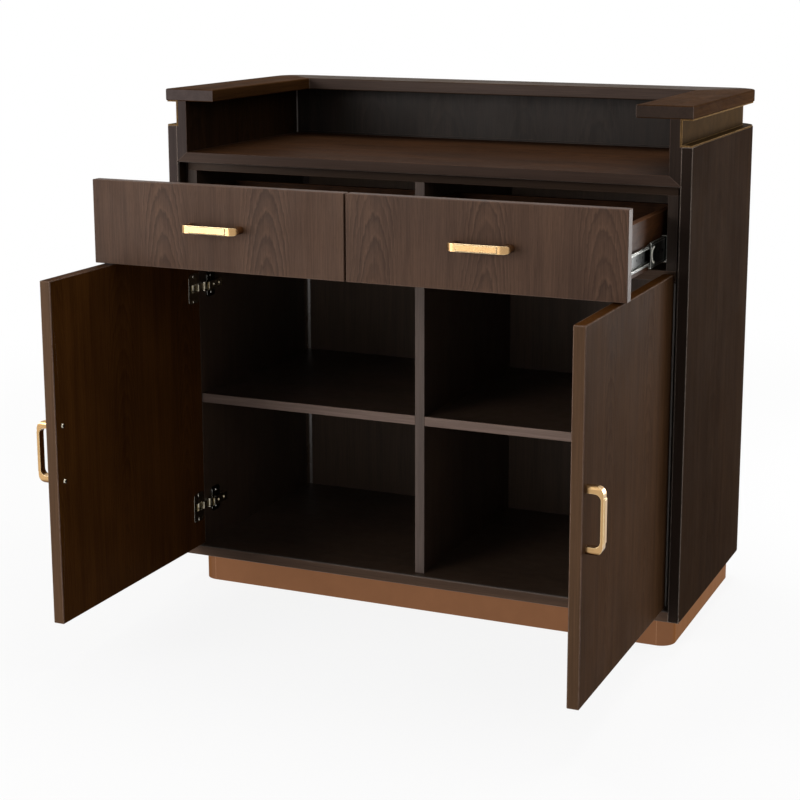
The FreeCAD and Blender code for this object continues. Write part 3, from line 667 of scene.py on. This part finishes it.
class Palette:
    """Every finish of the station, built once."""

    VENEERS = (
        Veneer("walnut_drawer", linear(86, 63, 48), linear(58, 40, 29), figure=0.6, leaf=0.1945,
               shift=-0.0095, ring=0.0048, wear_and_highlight=0.8, gloss=0.11, rough=0.5),
        Veneer("walnut_door", linear(80, 48, 19), linear(52, 29, 9), figure=0.3, leaf=0.21,
               foot=0.1, ring=0.005, rough=0.47, gloss=0.0035, wear_and_highlight=1.0,
               banding_and_sheen=linear(82, 60, 42), arris=linear(160, 140, 128), sheen_side=-1.0,
               show=(linear(77, 53, 34), linear(51, 34, 21))),
        Veneer("walnut_side", linear(52, 37, 25), linear(32, 20, 11), figure=0.15, leaf=0.3,
               foot=-0.6, gloss=0.0015, rough=0.6, wear_and_highlight=1.0, banding_and_sheen=linear(64, 54, 51),
               arris=linear(186, 172, 160), front_wear_and_highlight=True),
        Veneer("walnut_rear", linear(52, 37, 25), linear(32, 20, 11), figure=0.15, leaf=0.3,
               foot=-0.6, gloss=0.0015, rough=0.6, wear_and_highlight=0.1, banding_and_sheen=linear(84, 66, 52),
               band_gloss=0.36),
        Veneer("walnut_leaf", linear(56, 36, 20), linear(22, 14, 8), figure=0.25, wear_and_highlight=0.8,
               gloss=0.012, rough=0.55, banding_and_sheen=linear(62, 52, 49)),
        Veneer("walnut_gallery", linear(52, 43, 37), linear(26, 21, 18), figure=0.3, leaf=0.16,
               gloss=0.15, rough=0.5),
        Veneer("walnut_worktop", linear(62, 38, 21), linear(32, 19, 10), GrainAxis.ALONG_X,
               figure=0.3, gloss=0.01, rough=0.5, banding_and_sheen=linear(66, 51, 43)),
        Veneer("walnut_cap_side", linear(73, 47, 24), linear(43, 26, 12), GrainAxis.ALONG_Y,
               figure=0.2, rough=0.5, gloss=0.001, banding_and_sheen=linear(74, 63, 60), wear_and_highlight=0.9,
               arris=linear(130, 112, 100)),
        Veneer("walnut_cap_back", linear(70, 52, 36), linear(44, 32, 22), GrainAxis.ALONG_X,
               figure=0.2, rough=0.45, gloss=0.01, banding_and_sheen=linear(76, 62, 55), wear_and_highlight=0.9,
               arris=linear(130, 112, 100)),
        Veneer("walnut_carcass", linear(78, 60, 47), linear(44, 33, 25), figure=0.3, rough=0.4,
               gloss=0.5, wear_and_highlight=0.4, banding_and_sheen=linear(62, 52, 46)),
        # The carcass walnut with lighter edging: painted light on the divider's lit front.
        Veneer("walnut_divider", linear(78, 60, 47), linear(44, 33, 25), figure=0.3, rough=0.4,
               gloss=0.5, wear_and_highlight=0.4, banding_and_sheen=linear(102, 90, 84)),
        Veneer("walnut_top", linear(60, 44, 32), linear(38, 27, 19), GrainAxis.ALONG_X,
               figure=0.3, rough=0.45, gloss=0.05, wear_and_highlight=0.6, banding_and_sheen=linear(56, 42, 32)),
        Veneer("walnut_level", linear(80, 62, 49), linear(46, 35, 26), GrainAxis.ALONG_X,
               figure=0.3, rough=0.4, gloss=0.5, wear_and_highlight=0.7, banding_and_sheen=linear(82, 64, 52)),
        # The level walnut with lighter edging: painted light on the shelves' lit fronts.
        Veneer("walnut_shelf", linear(80, 62, 49), linear(46, 35, 26), GrainAxis.ALONG_X,
               figure=0.3, rough=0.4, gloss=0.5, wear_and_highlight=0.7, banding_and_sheen=linear(124, 106, 97)),
        Veneer("stained_box", linear(80, 48, 26), linear(46, 27, 13), GrainAxis.ALONG_Y,
               figure=0.4, rough=0.5, gloss=0.05, wear_and_highlight=0.7, arris=linear(120, 84, 60)),
        Veneer("stained_box_back", linear(70, 44, 26), linear(42, 25, 13), GrainAxis.ALONG_X,
               figure=0.4, rough=0.5, gloss=0.05, wear_and_highlight=0.7, arris=linear(120, 84, 60)),
    )
    # Edging of the right-hand boards, darker than on the left: painted shade where the open door
    # and drawer keep the key lamp off them.
    PAINTED_SHADE_BANDING = {"walnut_side": linear(36, 26, 20), "walnut_leaf": linear(42, 32, 26),
              "walnut_cap_side": linear(52, 40, 33)}
    # The bead, strip and cove trims are light as painted highlights; shadow_black is painted
    # shade.
    TRIMS = (
        Veneer("bead_lacquer", linear(112, 104, 98), linear(84, 77, 72), figure=0.0, wear_and_highlight=0.4,
               gloss=0.15, rough=0.4),
        Veneer("strip_lacquer", linear(150, 142, 138), linear(122, 115, 110), figure=0.0,
               wear_and_highlight=0.4, gloss=0.2, rough=0.4),
        Veneer("cove_lacquer", linear(104, 88, 74), linear(72, 58, 47), figure=0.0, wear_and_highlight=0.2,
               gloss=1.0, rough=0.3),
        Veneer("pale_plastic", linear(214, 212, 200), linear(188, 186, 172), figure=0.0,
               wear_and_highlight=0.3, gloss=0.5, rough=0.4, arris=linear(235, 233, 225)),
        Veneer("shadow_black", linear(14, 13, 12), linear(8, 8, 7), figure=0.0, wear_and_highlight=0.0,
               gloss=0.1, rough=0.7),
    )
    METALS = (
        Metal("bronze_sheet", linear(74, 55, 32), linear(54, 39, 22), rough=0.45, brush=0.4,
              wear_and_highlight=1.0, bright=linear(206, 166, 112), metallic=0.0, gloss=0.001),
        Metal("copper_laminate", linear(123, 84, 58), linear(104, 70, 48), rough=0.34,
              brush=0.1, cloud=0.15, wear_and_highlight=0.5, bright=linear(196, 150, 118),
              rim=linear(218, 192, 174)),
        Metal("champagne_gold", linear(204, 166, 116), linear(112, 76, 42), rough=0.26,
              brush=0.2, cloud=0.3, wear_and_highlight=0.9, bright=linear(244, 222, 180), shade=1.0),
        Metal("nickel_plate", linear(214, 204, 180), linear(120, 112, 94), rough=0.2, shade=0.4),
        Metal("dark_nickel", linear(72, 70, 65), linear(30, 29, 27), rough=0.24, wear_and_highlight=0.8,
              shade=0.5),
        Metal("zinc_steel", linear(100, 102, 98), linear(44, 47, 46), rough=0.3, wear_and_highlight=1.0,
              bright=linear(226, 226, 216), web=linear(32, 34, 32)),
    )

    def __init__(self, groups: NodeGroups) -> None:
        """Build the materials.

        Args:
            groups: The shared shader groups.
        """
        # The right-hand copies carry that painted shade; the door copy turns the painted sheen of
        # the outer face to +X.
        variants = tuple(replace(veneer, name=f"{veneer.name}_right",
                                 banding_and_sheen=self.PAINTED_SHADE_BANDING[veneer.name])
                         for veneer in self.VENEERS if veneer.name in self.PAINTED_SHADE_BANDING)
        door = next(veneer for veneer in self.VENEERS if veneer.name == "walnut_door")
        variants += (replace(door, name="walnut_door_right", sheen_side=1.0),)
        self.materials = {f.name: f.build(groups)
                          for f in self.VENEERS + variants + self.TRIMS + self.METALS}

    def dress(self, thing: bpy.types.Object, finish: str) -> None:
        """Give an object a finish.

        Args:
            thing: The object.
            finish: The finish's name.
        """
        material = self.materials[finish]
        if not thing.material_slots:
            thing.data.materials.append(material)
        for slot in thing.material_slots:
            slot.material = material


class Shaper:
    """Makes meshes from sections and outlines."""

    SHARP = math.radians(35)  # edges that turn by more than this are broken
    SMALL_ARRIS = 0.0003  # width of the broken edges of a small piece, in metres

    @staticmethod
    def mesh(name: str, rings: Sequence[Ring], looped: bool = False) -> bpy.types.Object:
        """Skin a run of rings.

        Args:
            name: The piece's name.
            rings: Rings of points, each with the same count.
            looped: Whether the last ring joins the first.

        Returns:
            The new object.
        """
        work = bmesh.new()
        made = [[work.verts.new(point) for point in ring] for ring in rings]
        count = len(rings[0])
        for here, there in zip(made, made[1:] + (made[:1] if looped else [])):
            for k in range(count):
                j = (k + 1) % count
                work.faces.new((here[k], here[j], there[j], there[k]))
        if not looped:
            work.faces.new(made[0])
            work.faces.new(made[-1])
        bmesh.ops.recalc_face_normals(work, faces=work.faces)
        return Shaper.place(name, work)

    @staticmethod
    def place(name: str, work: bmesh.types.BMesh) -> bpy.types.Object:
        """Turn mesh work into an object of the scene.

        Args:
            name: The piece's name.
            work: The mesh work, which is freed.

        Returns:
            The new object.
        """
        data = bpy.data.meshes.new(name)
        work.to_mesh(data)
        work.free()
        thing = bpy.data.objects.new(name, data)
        bpy.context.scene.collection.objects.link(thing)
        return thing

    @staticmethod
    def soften(thing: bpy.types.Object, width: float) -> bpy.types.Object:
        """Break the sharp edges of a piece.

        Args:
            thing: The piece.
            width: Width of the broken edges in metres.

        Returns:
            The same piece.
        """
        bevel = thing.modifiers.new("arris", "BEVEL")
        bevel.width = width
        bevel.segments = 2
        bevel.limit_method = "ANGLE"
        bevel.angle_limit = Shaper.SHARP
        return thing

    @staticmethod
    def arc(centre: Pair, radius: float, first: float, last: float, steps: int = 8
            ) -> list[Pair]:
        """Points along an arc.

        Args:
            centre: Its centre.
            radius: Its radius.
            first: First angle in degrees.
            last: Last angle in degrees.
            steps: How many parts.

        Returns:
            The points.
        """
        turns = (math.radians(first + (last - first) * k / steps) for k in range(steps + 1))
        return [(centre[0] + radius * math.cos(t), centre[1] + radius * math.sin(t))
                for t in turns]

    @staticmethod
    def upright(name: str, outline: Sequence[Pair], low: float, high: float
                ) -> bpy.types.Object:
        """Raise an outline in plan.

        Args:
            name: The piece's name.
            outline: Points in X and Y.
            low: Foot height.
            high: Top height.

        Returns:
            The piece.
        """
        return Shaper.mesh(name, [[(x, y, z) for x, y in outline] for z in (low, high)])

    @staticmethod
    def flat(name: str, outline: Sequence[Pair], near: float, far: float) -> bpy.types.Object:
        """Thicken an outline seen from the side.

        Args:
            name: The piece's name.
            outline: Points in Y and Z.
            near: First X.
            far: Second X.

        Returns:
            The piece.
        """
        return Shaper.mesh(name, [[(x, y, z) for y, z in outline] for x in (near, far)])

    @staticmethod
    def join(name: str, parts: Sequence[bpy.types.Object]) -> bpy.types.Object:
        """Make one piece of several.

        Args:
            name: The piece's name.
            parts: The parts, which are removed.

        Returns:
            The piece.
        """
        work = bmesh.new()
        for part in parts:
            work.from_mesh(part.data)
            bpy.data.objects.remove(part)
        return Shaper.place(name, work)


@dataclass
class Assembly:
    """A sub-assembly that dresses its own CAD nodes and adds small pieces.

    Attributes:
        palette: The finishes.
    """

    frame: dict
    palette: Palette

    def finishes(self) -> dict[str, str]:
        """Say which finish each CAD node has.

        Returns:
            Finish name by node name.
        """
        return {}

    def trim(self) -> None:
        """Add the small pieces; a plain sub-assembly has none."""

    def build(self) -> None:
        """Dress every node of the sub-assembly and add its pieces."""
        for name, finish in self.finishes().items():
            self.palette.dress(self.frame["nodes"][name], finish)
            LOG.info("dressed %s with %s", name, finish)
        self.trim()

    def add(self, piece: bpy.types.Object, finish: str, body: str, slot: str) -> None:
        """Dress a piece and let it ride on a body.

        Args:
            piece: The piece.
            finish: The finish's name.
            body: The body that carries it.
            slot: The record's material slot, which is not used.
        """
        self.palette.dress(piece, finish)
        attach(piece, body)
        LOG.info("added %s on %s", piece.name, body)


@dataclass
class Gallery(Assembly):
    """Cap, gallery walls and worktop.

    Attributes:
        corner: Inner rear corner of the walls, in X and Y.
        foot: Height of the worktop.
        top: Height of the cap's underside.
        bead: Radius of the corner bead.
    """

    corner: Pair = (0.460, 0.2025)
    foot: float = 0.846
    top: float = 0.940
    bead: float = 0.0022

    def finishes(self) -> dict[str, str]:
        """Say which finish each CAD node has.

        Returns:
            Finish name by node name.
        """
        return {"cap_left": "walnut_cap_side", "cap_right": "walnut_cap_side_right",
                "cap_back": "walnut_cap_back", "inner_leaf_left": "walnut_leaf",
                "inner_leaf_right": "walnut_leaf_right", "gallery_back": "walnut_gallery",
                "worktop": "walnut_worktop"}

    def trim(self) -> None:
        """Put a quarter-round bead, light as a painted highlight, into both inner rear corners.
        """
        for side, sign in zip(SIDES, SIGNS):
            x, y = self.corner[0] * sign, self.corner[1]
            outline = [(x, y)] + Shaper.arc((x, y), self.bead, 270, 270 - 90 * sign)
            bead = Shaper.upright(f"gallery_bead_{side}", outline, self.foot, self.top)
            self.add(bead, "strip_lacquer", "cabinet", "veneer_gallery")


@dataclass
class Skin(Assembly):
    """Outer leaves, corner posts, recess sheet and plinth.

    Attributes:
        half: Half the width of the front opening.
        low: Foot of the opening.
        high: Top of the opening.
        corner: Radius of the opening's corners.
        lip: Thickness of the bead around the opening.
        depths: Front and rear of the bead.
        steps: Parts of each turned corner.
    """

    half: float = 0.481
    low: float = 0.083
    high: float = 0.828
    corner: float = 0.004
    lip: float = 0.0008
    depths: Pair = (-0.2421, -0.2362)
    steps: int = 5

    def finishes(self) -> dict[str, str]:
        """Say which finish each CAD node has.

        Returns:
            Finish name by node name.
        """
        walls = {"outer_leaf_left": "walnut_side", "outer_leaf_right": "walnut_side_right"}
        sheets = {f"recess_{part}": "bronze_sheet" for part in (*SIDES, "back", "corners")}
        plinth = {f"plinth_{part}": "copper_laminate"
                  for part in ("front", "back", "sides", "corners")}
        return {**walls, **sheets, **plinth, "corner_posts": "walnut_side",
                "outer_leaf_back": "walnut_rear"}

    def trim(self) -> None:
        """Line the front opening with a thin bead that turns its corners, light as a painted
        highlight along its arris.
        """
        r = self.corner
        corners = (((self.half - r, self.high - r), 0), ((r - self.half, self.high - r), 90),
                   ((r - self.half, self.low + r), 180), ((self.half - r, self.low + r), 270))
        front, rear = self.depths
        rings = []
        for centre, first in corners:
            outer = Shaper.arc(centre, r, first, first + 90, self.steps)
            inner = Shaper.arc(centre, r - self.lip, first, first + 90, self.steps)
            for (ox, oz), (ix, iz) in zip(outer, inner):
                rings.append([(ox, front, oz), (ix, front + self.lip, iz), (ix, rear, iz),
                              (ox, rear, oz)])
        bead = Shaper.mesh("front_bead", rings, looped=True)
        self.add(bead, "bead_lacquer", "cabinet", "veneer_side")


@dataclass
class Carcass(Assembly):
    """Boards of the inner box.

    Attributes:
        inside: Inner face of a carcass side.
        back: Front face of the back wall.
        cove: Radius of the rear coves.
        tuck: How far a cove reaches into the side, in metres.
        bays: Foot and top of each compartment.
        strip: Inner and outer edge of the painted light strip on a carcass side.
        strip_depths: Front and rear of the strip.
        strip_span: Foot and top of the strip.
    """

    inside: float = 0.454
    back: float = 0.2234
    cove: float = 0.0098
    tuck: float = 0.005
    bays: tuple[Pair, ...] = ((0.0831, 0.3644), (0.3826, 0.6639))
    strip: Pair = (0.4664, 0.4719)
    strip_depths: Pair = (-0.2212, -0.2201)
    strip_span: Pair = (0.0862, 0.6612)

    def finishes(self) -> dict[str, str]:
        """Say which finish each CAD node has.

        Returns:
            Finish name by node name.
        """
        upright = {name: "walnut_carcass" for name in
                   ("carcass_side_left", "carcass_side_right", "side_spacers", "plinth_brace")}
        level = {name: "walnut_level" for name in ("rail", "bottom_board")}
        return {**upright, **level, "carcass_top": "walnut_top", "divider": "walnut_divider",
                "shelves": "walnut_shelf"}

    def trim(self) -> None:
        """Add a glossy cove, lighter than the carcass as a painted highlight, in each outer rear
        corner, and a painted light strip beside each door.
        """
        near, far = self.strip_depths
        for side, sign in zip(SIDES, SIGNS):
            x, y, r = self.inside * sign, self.back, self.cove
            outline = [(x + self.tuck * sign, y - r)]
            outline += Shaper.arc((x - r * sign, y - r), r, 90 - 90 * sign, 90)
            outline.append((x + self.tuck * sign, y))
            for bay, (low, high) in zip(("low", "high"), self.bays):
                cove = Shaper.upright(f"cove_{bay}_{side}", outline, low, high)
                self.add(cove, "cove_lacquer", "cabinet", "veneer_carcass")
            edges = [v * sign for v in self.strip]
            plan = [(edges[0], near), (edges[1], near), (edges[1], far), (edges[0], far)]
            strip = Shaper.upright(f"reveal_strip_{side}", plan, *self.strip_span)
            self.add(Shaper.soften(strip, Shaper.SMALL_ARRIS), "strip_lacquer", "cabinet",
                     "veneer_carcass")


@dataclass
class Drawers(Assembly):
    """Both drawers with their slides.

    Attributes:
        wall: Inner face of a carcass side.
        middle: Distance from a carcass side to its mirror image at the divider.
        height: Height of the slides' middle line.
        outer_web: Depth range of the catch in front of the middle member's web.
        inner_web: Depth of the drawer member's web, from the wall.
        catch: Outer and inner radius of the catch.
        catch_at: Y of the catch's centre when the drawers stand open.
        slots: Y of the slots in the middle member.
        holes: Y of the holes in the drawer member.
        slot: Half length and half height of a slot.
        hole: Half length and half height of a hole.
        slot_web: Depth range of the slots, from the wall.
        skin: Half the thickness of the holes' marks.
    """

    wall: float = 0.454
    middle: float = 0.463
    height: float = 0.7196
    outer_web: Pair = (0.0017, 0.0030)
    inner_web: float = 0.0115
    catch: Pair = (0.0145, 0.0112)
    catch_at: float = -0.289
    slots: tuple[float, ...] = (-0.262, -0.236, -0.19)
    holes: tuple[float, ...] = (-0.49, -0.465, -0.43, -0.395, -0.36, -0.325)
    slot: Pair = (0.0045, 0.0022)
    hole: Pair = (0.0022, 0.0022)
    slot_web: Pair = (0.0029, 0.0031)
    skin: float = 0.0001

    def finishes(self) -> dict[str, str]:
        """Say which finish each CAD node has.

        Returns:
            Finish name by node name.
        """
        result = {"slide_cabinet_members": "zinc_steel"}
        for side in SIDES:
            result[f"drawer_front_{side}"] = "walnut_drawer"
            result[f"drawer_sides_{side}"] = "stained_box"
            result[f"drawer_back_{side}"] = "stained_box_back"
            result[f"drawer_base_{side}"] = "stained_box"
            result[f"drawer_handle_{side}"] = "champagne_gold"
            result[f"drawer_screws_{side}"] = "nickel_plate"
            result[f"slide_drawer_{side}"] = "zinc_steel"
            result[f"slide_middle_{side}"] = "zinc_steel"
        return result

    def depths(self, sign: int, inner: bool, *ways: float) -> list[float]:
        """Turn distances from a slide's wall into X.

        Args:
            sign: -1 for the left drawer and 1 for the right one.
            inner: Whether the slide is the one at the divider.
            *ways: Distances from the wall.

        Returns:
            The X values.
        """
        xs = [self.wall - way for way in ways]
        return [sign * (self.middle - x if inner else x) for x in xs]

    def trim(self) -> None:
        """Add the catches of the slides, and dark marks for their slots and holes: painted shade.
        """
        for side, sign in zip(SIDES, SIGNS):
            for place, inner in (("wall", False), ("divider", True)):
                self._catch(f"{side}_{place}", side, self.depths(sign, inner, *self.outer_web))
                self._marks(f"slide_slots_{side}_{place}", self.slots, self.slot,
                            self.depths(sign, inner, *self.slot_web), f"slide_{side}")
                web = self.inner_web
                self._marks(f"slide_holes_{side}_{place}", self.holes, self.hole,
                            self.depths(sign, inner, web - self.skin, web + self.skin),
                            f"drawer_{side}")

    def _catch(self, name: str, side: str, xs: Sequence[float]) -> None:
        """Add the pale curved catch at the front of a middle member.

        Args:
            name: End of the piece's name.
            side: left or right.
            xs: X of both faces.
        """
        centre, (outer, inner) = (self.catch_at, self.height), self.catch
        outline = Shaper.arc(centre, outer, 80, 280, 14)
        outline += Shaper.arc(centre, inner, 280, 80, 14)
        catch = Shaper.flat(f"slide_catch_{name}", outline, *xs)
        Shaper.soften(catch, Shaper.SMALL_ARRIS)
        self.add(catch, "pale_plastic", f"slide_{side}", "slide_steel")

    def _marks(self, name: str, ys: Sequence[float], size: Pair, xs: Sequence[float],
               body: str) -> None:
        """Add a row of dark marks, the painted shade in slots or holes.

        Args:
            name: The piece's name.
            ys: Y of each.
            size: Half length and half height.
            xs: X of both faces.
            body: The body that carries them.
        """
        long, high = size
        parts = []
        for y in ys:
            ends = Shaper.arc((y + long - high, self.height), high, -90, 90)
            ends += Shaper.arc((y - long + high, self.height), high, 90, 270)
            parts.append(Shaper.flat(name, ends, *xs))
        self.add(Shaper.join(name, parts), "shadow_black", body, "slide_steel")


class Doors(Assembly):
    """Both doors with their hinges and the screw recesses."""

    HEADS = {"plate_screws": "cabinet",
             **{f"{part}_{side}": f"door_{side}"
                for part in ("cup_screws", "door_screws") for side in SIDES}}
    FLAT = 1e-5  # how far from an end a point still lies on its face, in metres
    CROSS = (0.62, 0.15)  # half length and half width of a recess, in head radii
    SUNK, PROUD = 0.0001, 0.00004  # how far a recess goes into the head and stands out

    def finishes(self) -> dict[str, str]:
        """Say which finish each CAD node has.

        Returns:
            Finish name by node name.
        """
        result = {"hinge_arms": "nickel_plate", "hinge_plates": "dark_nickel",
                  "plate_screws": "dark_nickel", "door_panel_left": "walnut_door",
                  "door_panel_right": "walnut_door_right"}
        for side in SIDES:
            result[f"door_handle_{side}"] = "champagne_gold"
            for part in ("door_screws", "hinge_cups", "cup_screws", "hinge_links"):
                result[f"{part}_{side}"] = "nickel_plate"
        return result

    def trim(self) -> None:
        """Add a dark cross, the painted shade of a cross recess, to every screw that shows its
        head along X.
        """
        for node, body in self.HEADS.items():
            crosses = [self._cross(node, *head) for head in self._heads(node)]
            piece = Shaper.join(f"recess_marks_{node}", crosses)
            self.add(piece, "shadow_black", body, "screw_steel")

    def _heads(self, node: str) -> list[tuple[Vector, float, float]]:
        """Find the screw heads of a node, in the order of its mesh.

        Args:
            node: The CAD node.

        Returns:
            For each, the middle of its head's face, the sign of X it looks along, its radius.
        """
        work = bmesh.new()
        work.from_mesh(self.frame["nodes"][node].data)
        reached, heads = set(), []
        for first in work.verts:
            if first in reached:
                continue
            reached.add(first)
            heap, island = [first], []
            while heap:
                vert = heap.pop()
                island.append(vert.co.copy())
                near = [edge.other_vert(vert) for edge in vert.link_edges]
                near = [other for other in near if other not in reached]
                reached.update(near)
                heap.extend(near)
            heads.append(self._head(island))
        work.free()
        return heads

    @staticmethod
    def _head(points: Sequence[Vector]) -> tuple[Vector, float, float]:
        """Find the head's face of one screw that lies along X.

        Args:
            points: The screw's points.

        Returns:
            The middle of the face, the sign of X that it looks along and its radius.
        """
        ends = (min(p.x for p in points), max(p.x for p in points))
        middle = sum(points, Vector()) / len(points)
        reach = [max(math.hypot(p.y - middle.y, p.z - middle.z) for p in points
                     if abs(p.x - end) < Doors.FLAT) for end in ends]
        side = int(reach[1] > reach[0])
        ys, zs = [p.y for p in points], [p.z for p in points]
        centre = Vector((ends[side], (min(ys) + max(ys)) / 2, (min(zs) + max(zs)) / 2))
        return centre, 2.0 * side - 1.0, reach[side]

    @staticmethod
    def _cross(name: str, centre: Vector, sign: float, radius: float) -> bpy.types.Object:
        """Shape one dark cross, the painted shade of a cross recess.

        Args:
            name: Name of the part.
            centre: Middle of the head's face.
            sign: Sign of X that it looks along.
            radius: Radius of the head's face.

        Returns:
            The cross.
        """
        long, thin = (share * radius for share in Doors.CROSS)
        quarter = ((long, -thin), (long, thin), (thin, thin))
        outline = []
        for turn in range(4):
            for y, z in quarter:
                for _ in range(turn):
                    y, z = -z, y
                outline.append((centre.y + y, centre.z + z))
        return Shaper.flat(name, outline, centre.x - Doors.SUNK * sign,
                           centre.x + Doors.PROUD * sign)


@dataclass(frozen=True)
class SoftLamp:
    """One softbox.

    Attributes:
        name: Lamp name.
        place: Position in metres.
        aim: Point that it faces.
        size: Width and height in metres.
        power: Watts.
        tint: Colour.
    """

    name: str
    place: tuple[float, float, float]
    aim: tuple[float, float, float]
    size: tuple[float, float]
    power: float
    tint: Colour = (1.0, 1.0, 1.0)

    def build(self) -> None:
        """Hang the lamp."""
        data = bpy.data.lights.new(self.name, "AREA")
        data.shape = "RECTANGLE"
        data.size, data.size_y = self.size
        data.energy = self.power
        data.color = self.tint
        lamp = bpy.data.objects.new(self.name, data)
        lamp.location = self.place
        lamp.visible_camera = False
        away = Vector(self.place) - Vector(self.aim)
        lamp.rotation_euler = away.to_track_quat("Z", "Y").to_euler()
        bpy.context.scene.collection.objects.link(lamp)


@dataclass(frozen=True)
class Studio:
    """Floor, surroundings and lamps.

    Attributes:
        floor_half: Half the width of the floor in metres.
        floor_tone: Darkest and lightest grey of the floor.
        fill: Brightness of the surroundings.
        lift: Share of the floor's brightness that is its own, near the object.
        lift_reach: Distances over which that share grows to 1, in metres.
        lamps: The softboxes.
    """

    floor_half: float = 14.0
    floor_tone: Pair = (0.90, 0.94)
    fill: float = 0.26
    lift: float = 0.88
    lift_reach: Pair = (0.9, 2.8)
    lamps: tuple[SoftLamp, ...] = (
        SoftLamp("key", (-2.3, -3.4, 1.25), (0.0, -0.3, 0.42), (2.6, 2.3), 118.0,
                 (1.0, 0.97, 0.95)),
        SoftLamp("fill_right", (2.5, -2.3, 2.1), (0.4, -0.3, 0.6), (1.0, 1.2), 8.0),
        SoftLamp("rear_right", (1.7, 1.5, 0.6), (0.47, -0.6, 0.6), (1.0, 0.9), 32.0),
        SoftLamp("top", (0.1, 0.3, 3.2), (0.0, 0.0, 0.6), (2.4, 1.6), 54.0),
    )

    def build(self) -> None:
        """Build the whole studio."""
        self._floor()
        self._world()
        for lamp in self.lamps:
            lamp.build()
        LOG.info("studio with %d lamps", len(self.lamps))

    @staticmethod
    def _seen(graph: Graph) -> bpy.types.NodeSocket:
        """Mask of the rays that show the background.

        Args:
            graph: The graph to build in.

        Returns:
            1 for camera, mirror and see-through rays.
        """
        path = graph.node("LightPath").outputs
        seen = graph.math("MAXIMUM", path["Is Camera Ray"], path["Is Glossy Ray"])
        return graph.math("MAXIMUM", seen, path["Is Transmission Ray"])

    def _floor(self) -> None:
        """Lay a white floor that keeps the shadow."""
        half = self.floor_half
        mesh = bpy.data.meshes.new("studio_floor")
        mesh.from_pydata([(-half, -half, 0), (half, -half, 0), (half, half, 0), (-half, half, 0)],
                         [], [(0, 1, 2, 3)])
        floor = bpy.data.objects.new("studio_floor", mesh)
        bpy.context.scene.collection.objects.link(floor)
        material, graph, shader = Finish.open("studio_floor")
        place = graph.node("TexCoord").outputs["Object"]
        tone = graph.span(graph.noise(place, 3, 2, 0.5), 0.2, 0.8, *self.floor_tone)
        shade = graph.node("CombineColor", {0: tone, 1: tone, 2: tone}).outputs[0]
        graph.feed(shader.inputs["Base Color"], shade)
        graph.feed(shader.inputs["Roughness"], 0.8)
        graph.feed(shader.inputs["Specular IOR Level"], 0.1)
        glow = graph.node("Emission", {"Color": (1.0, 1.0, 1.0), "Strength": 1.0})
        away = graph.node("VectorMath", {0: place}, operation="LENGTH").outputs["Value"]
        lift = graph.span(away, *self.lift_reach, self.lift, 1.0)
        share = graph.math("MULTIPLY", self._seen(graph), lift)
        mixed = graph.node("MixShader", {0: share, 1: shader.outputs[0], 2: glow.outputs[0]})
        graph.feed(graph.find("OUTPUT_MATERIAL").inputs[0], mixed.outputs[0])
        mesh.materials.append(material)

    def _world(self) -> None:
        """White where the background shows and a soft grey as light."""
        world = bpy.data.worlds.new("surroundings")
        world.use_nodes = True
        bpy.context.scene.world = world
        graph = Graph(world.node_tree)
        back = graph.find("BACKGROUND")
        graph.feed(back.inputs["Strength"], graph.math(
            "ADD", self.fill, graph.math("MULTIPLY", self._seen(graph), 1.0 - self.fill)))
        graph.feed(back.inputs["Color"], (1.0, 1.0, 1.0))


@dataclass(frozen=True)
class Viewpoint:
    """The camera, given by its bearing and by where its axis meets the picture.

    Attributes:
        azimuth: Bearing in degrees, towards +X from the front.
        pitch: Upward tilt in degrees.
        roll: Roll in degrees.
        distance: Metres back from the pivot.
        slide: Metres to the right of the pivot.
        height: Height of the pivot in metres.
        focal: Focal length in picture widths.
        axis: Where the axis meets the picture, as shares from its top left.
    """

    azimuth: float = 22.2930
    pitch: float = -11.5831
    roll: float = 0.2313
    distance: float = 3.412953
    slide: float = -0.024466
    height: float = 0.501103
    focal: float = 1777.8239 / PICTURE
    axis: tuple[float, float] = (452.4315 / PICTURE, 330.0 / PICTURE)

    def build(self) -> None:
        """Place the camera."""
        turn, tilt, roll = (math.radians(a) for a in (self.azimuth, self.pitch, self.roll))
        ahead = Vector((-math.sin(turn) * math.cos(tilt), math.cos(turn) * math.cos(tilt),
                        math.sin(tilt)))
        level = Vector((math.cos(turn), math.sin(turn), 0.0))
        above = level.cross(ahead)
        right = level * math.cos(roll) + above * math.sin(roll)
        top = above * math.cos(roll) - level * math.sin(roll)
        place = level * self.slide - ahead * self.distance + Vector((0.0, 0.0, self.height))
        data = bpy.data.cameras.new("view")
        data.sensor_width = 36.0
        data.lens = self.focal * data.sensor_width
        data.shift_x = 0.5 - self.axis[0]
        data.shift_y = self.axis[1] - 0.5
        camera = bpy.data.objects.new("view", data)
        matrix = Matrix((right, top, -ahead)).transposed().to_4x4()
        matrix.translation = place
        camera.matrix_world = matrix
        bpy.context.scene.collection.objects.link(camera)
        bpy.context.scene.camera = camera
        LOG.info("camera at %s", tuple(round(v, 3) for v in place))


def main() -> None:
    """Build the scene in order."""
    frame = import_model()
    palette = Palette(NodeGroups())
    for kind in (Gallery, Skin, Carcass, Drawers, Doors):
        kind(frame, palette).build()
    Studio().build()
    Viewpoint().build()
    bpy.context.scene.view_settings.view_transform = "Standard"


if __name__ == "__main__":
    logging.basicConfig(level=logging.INFO)
    main()
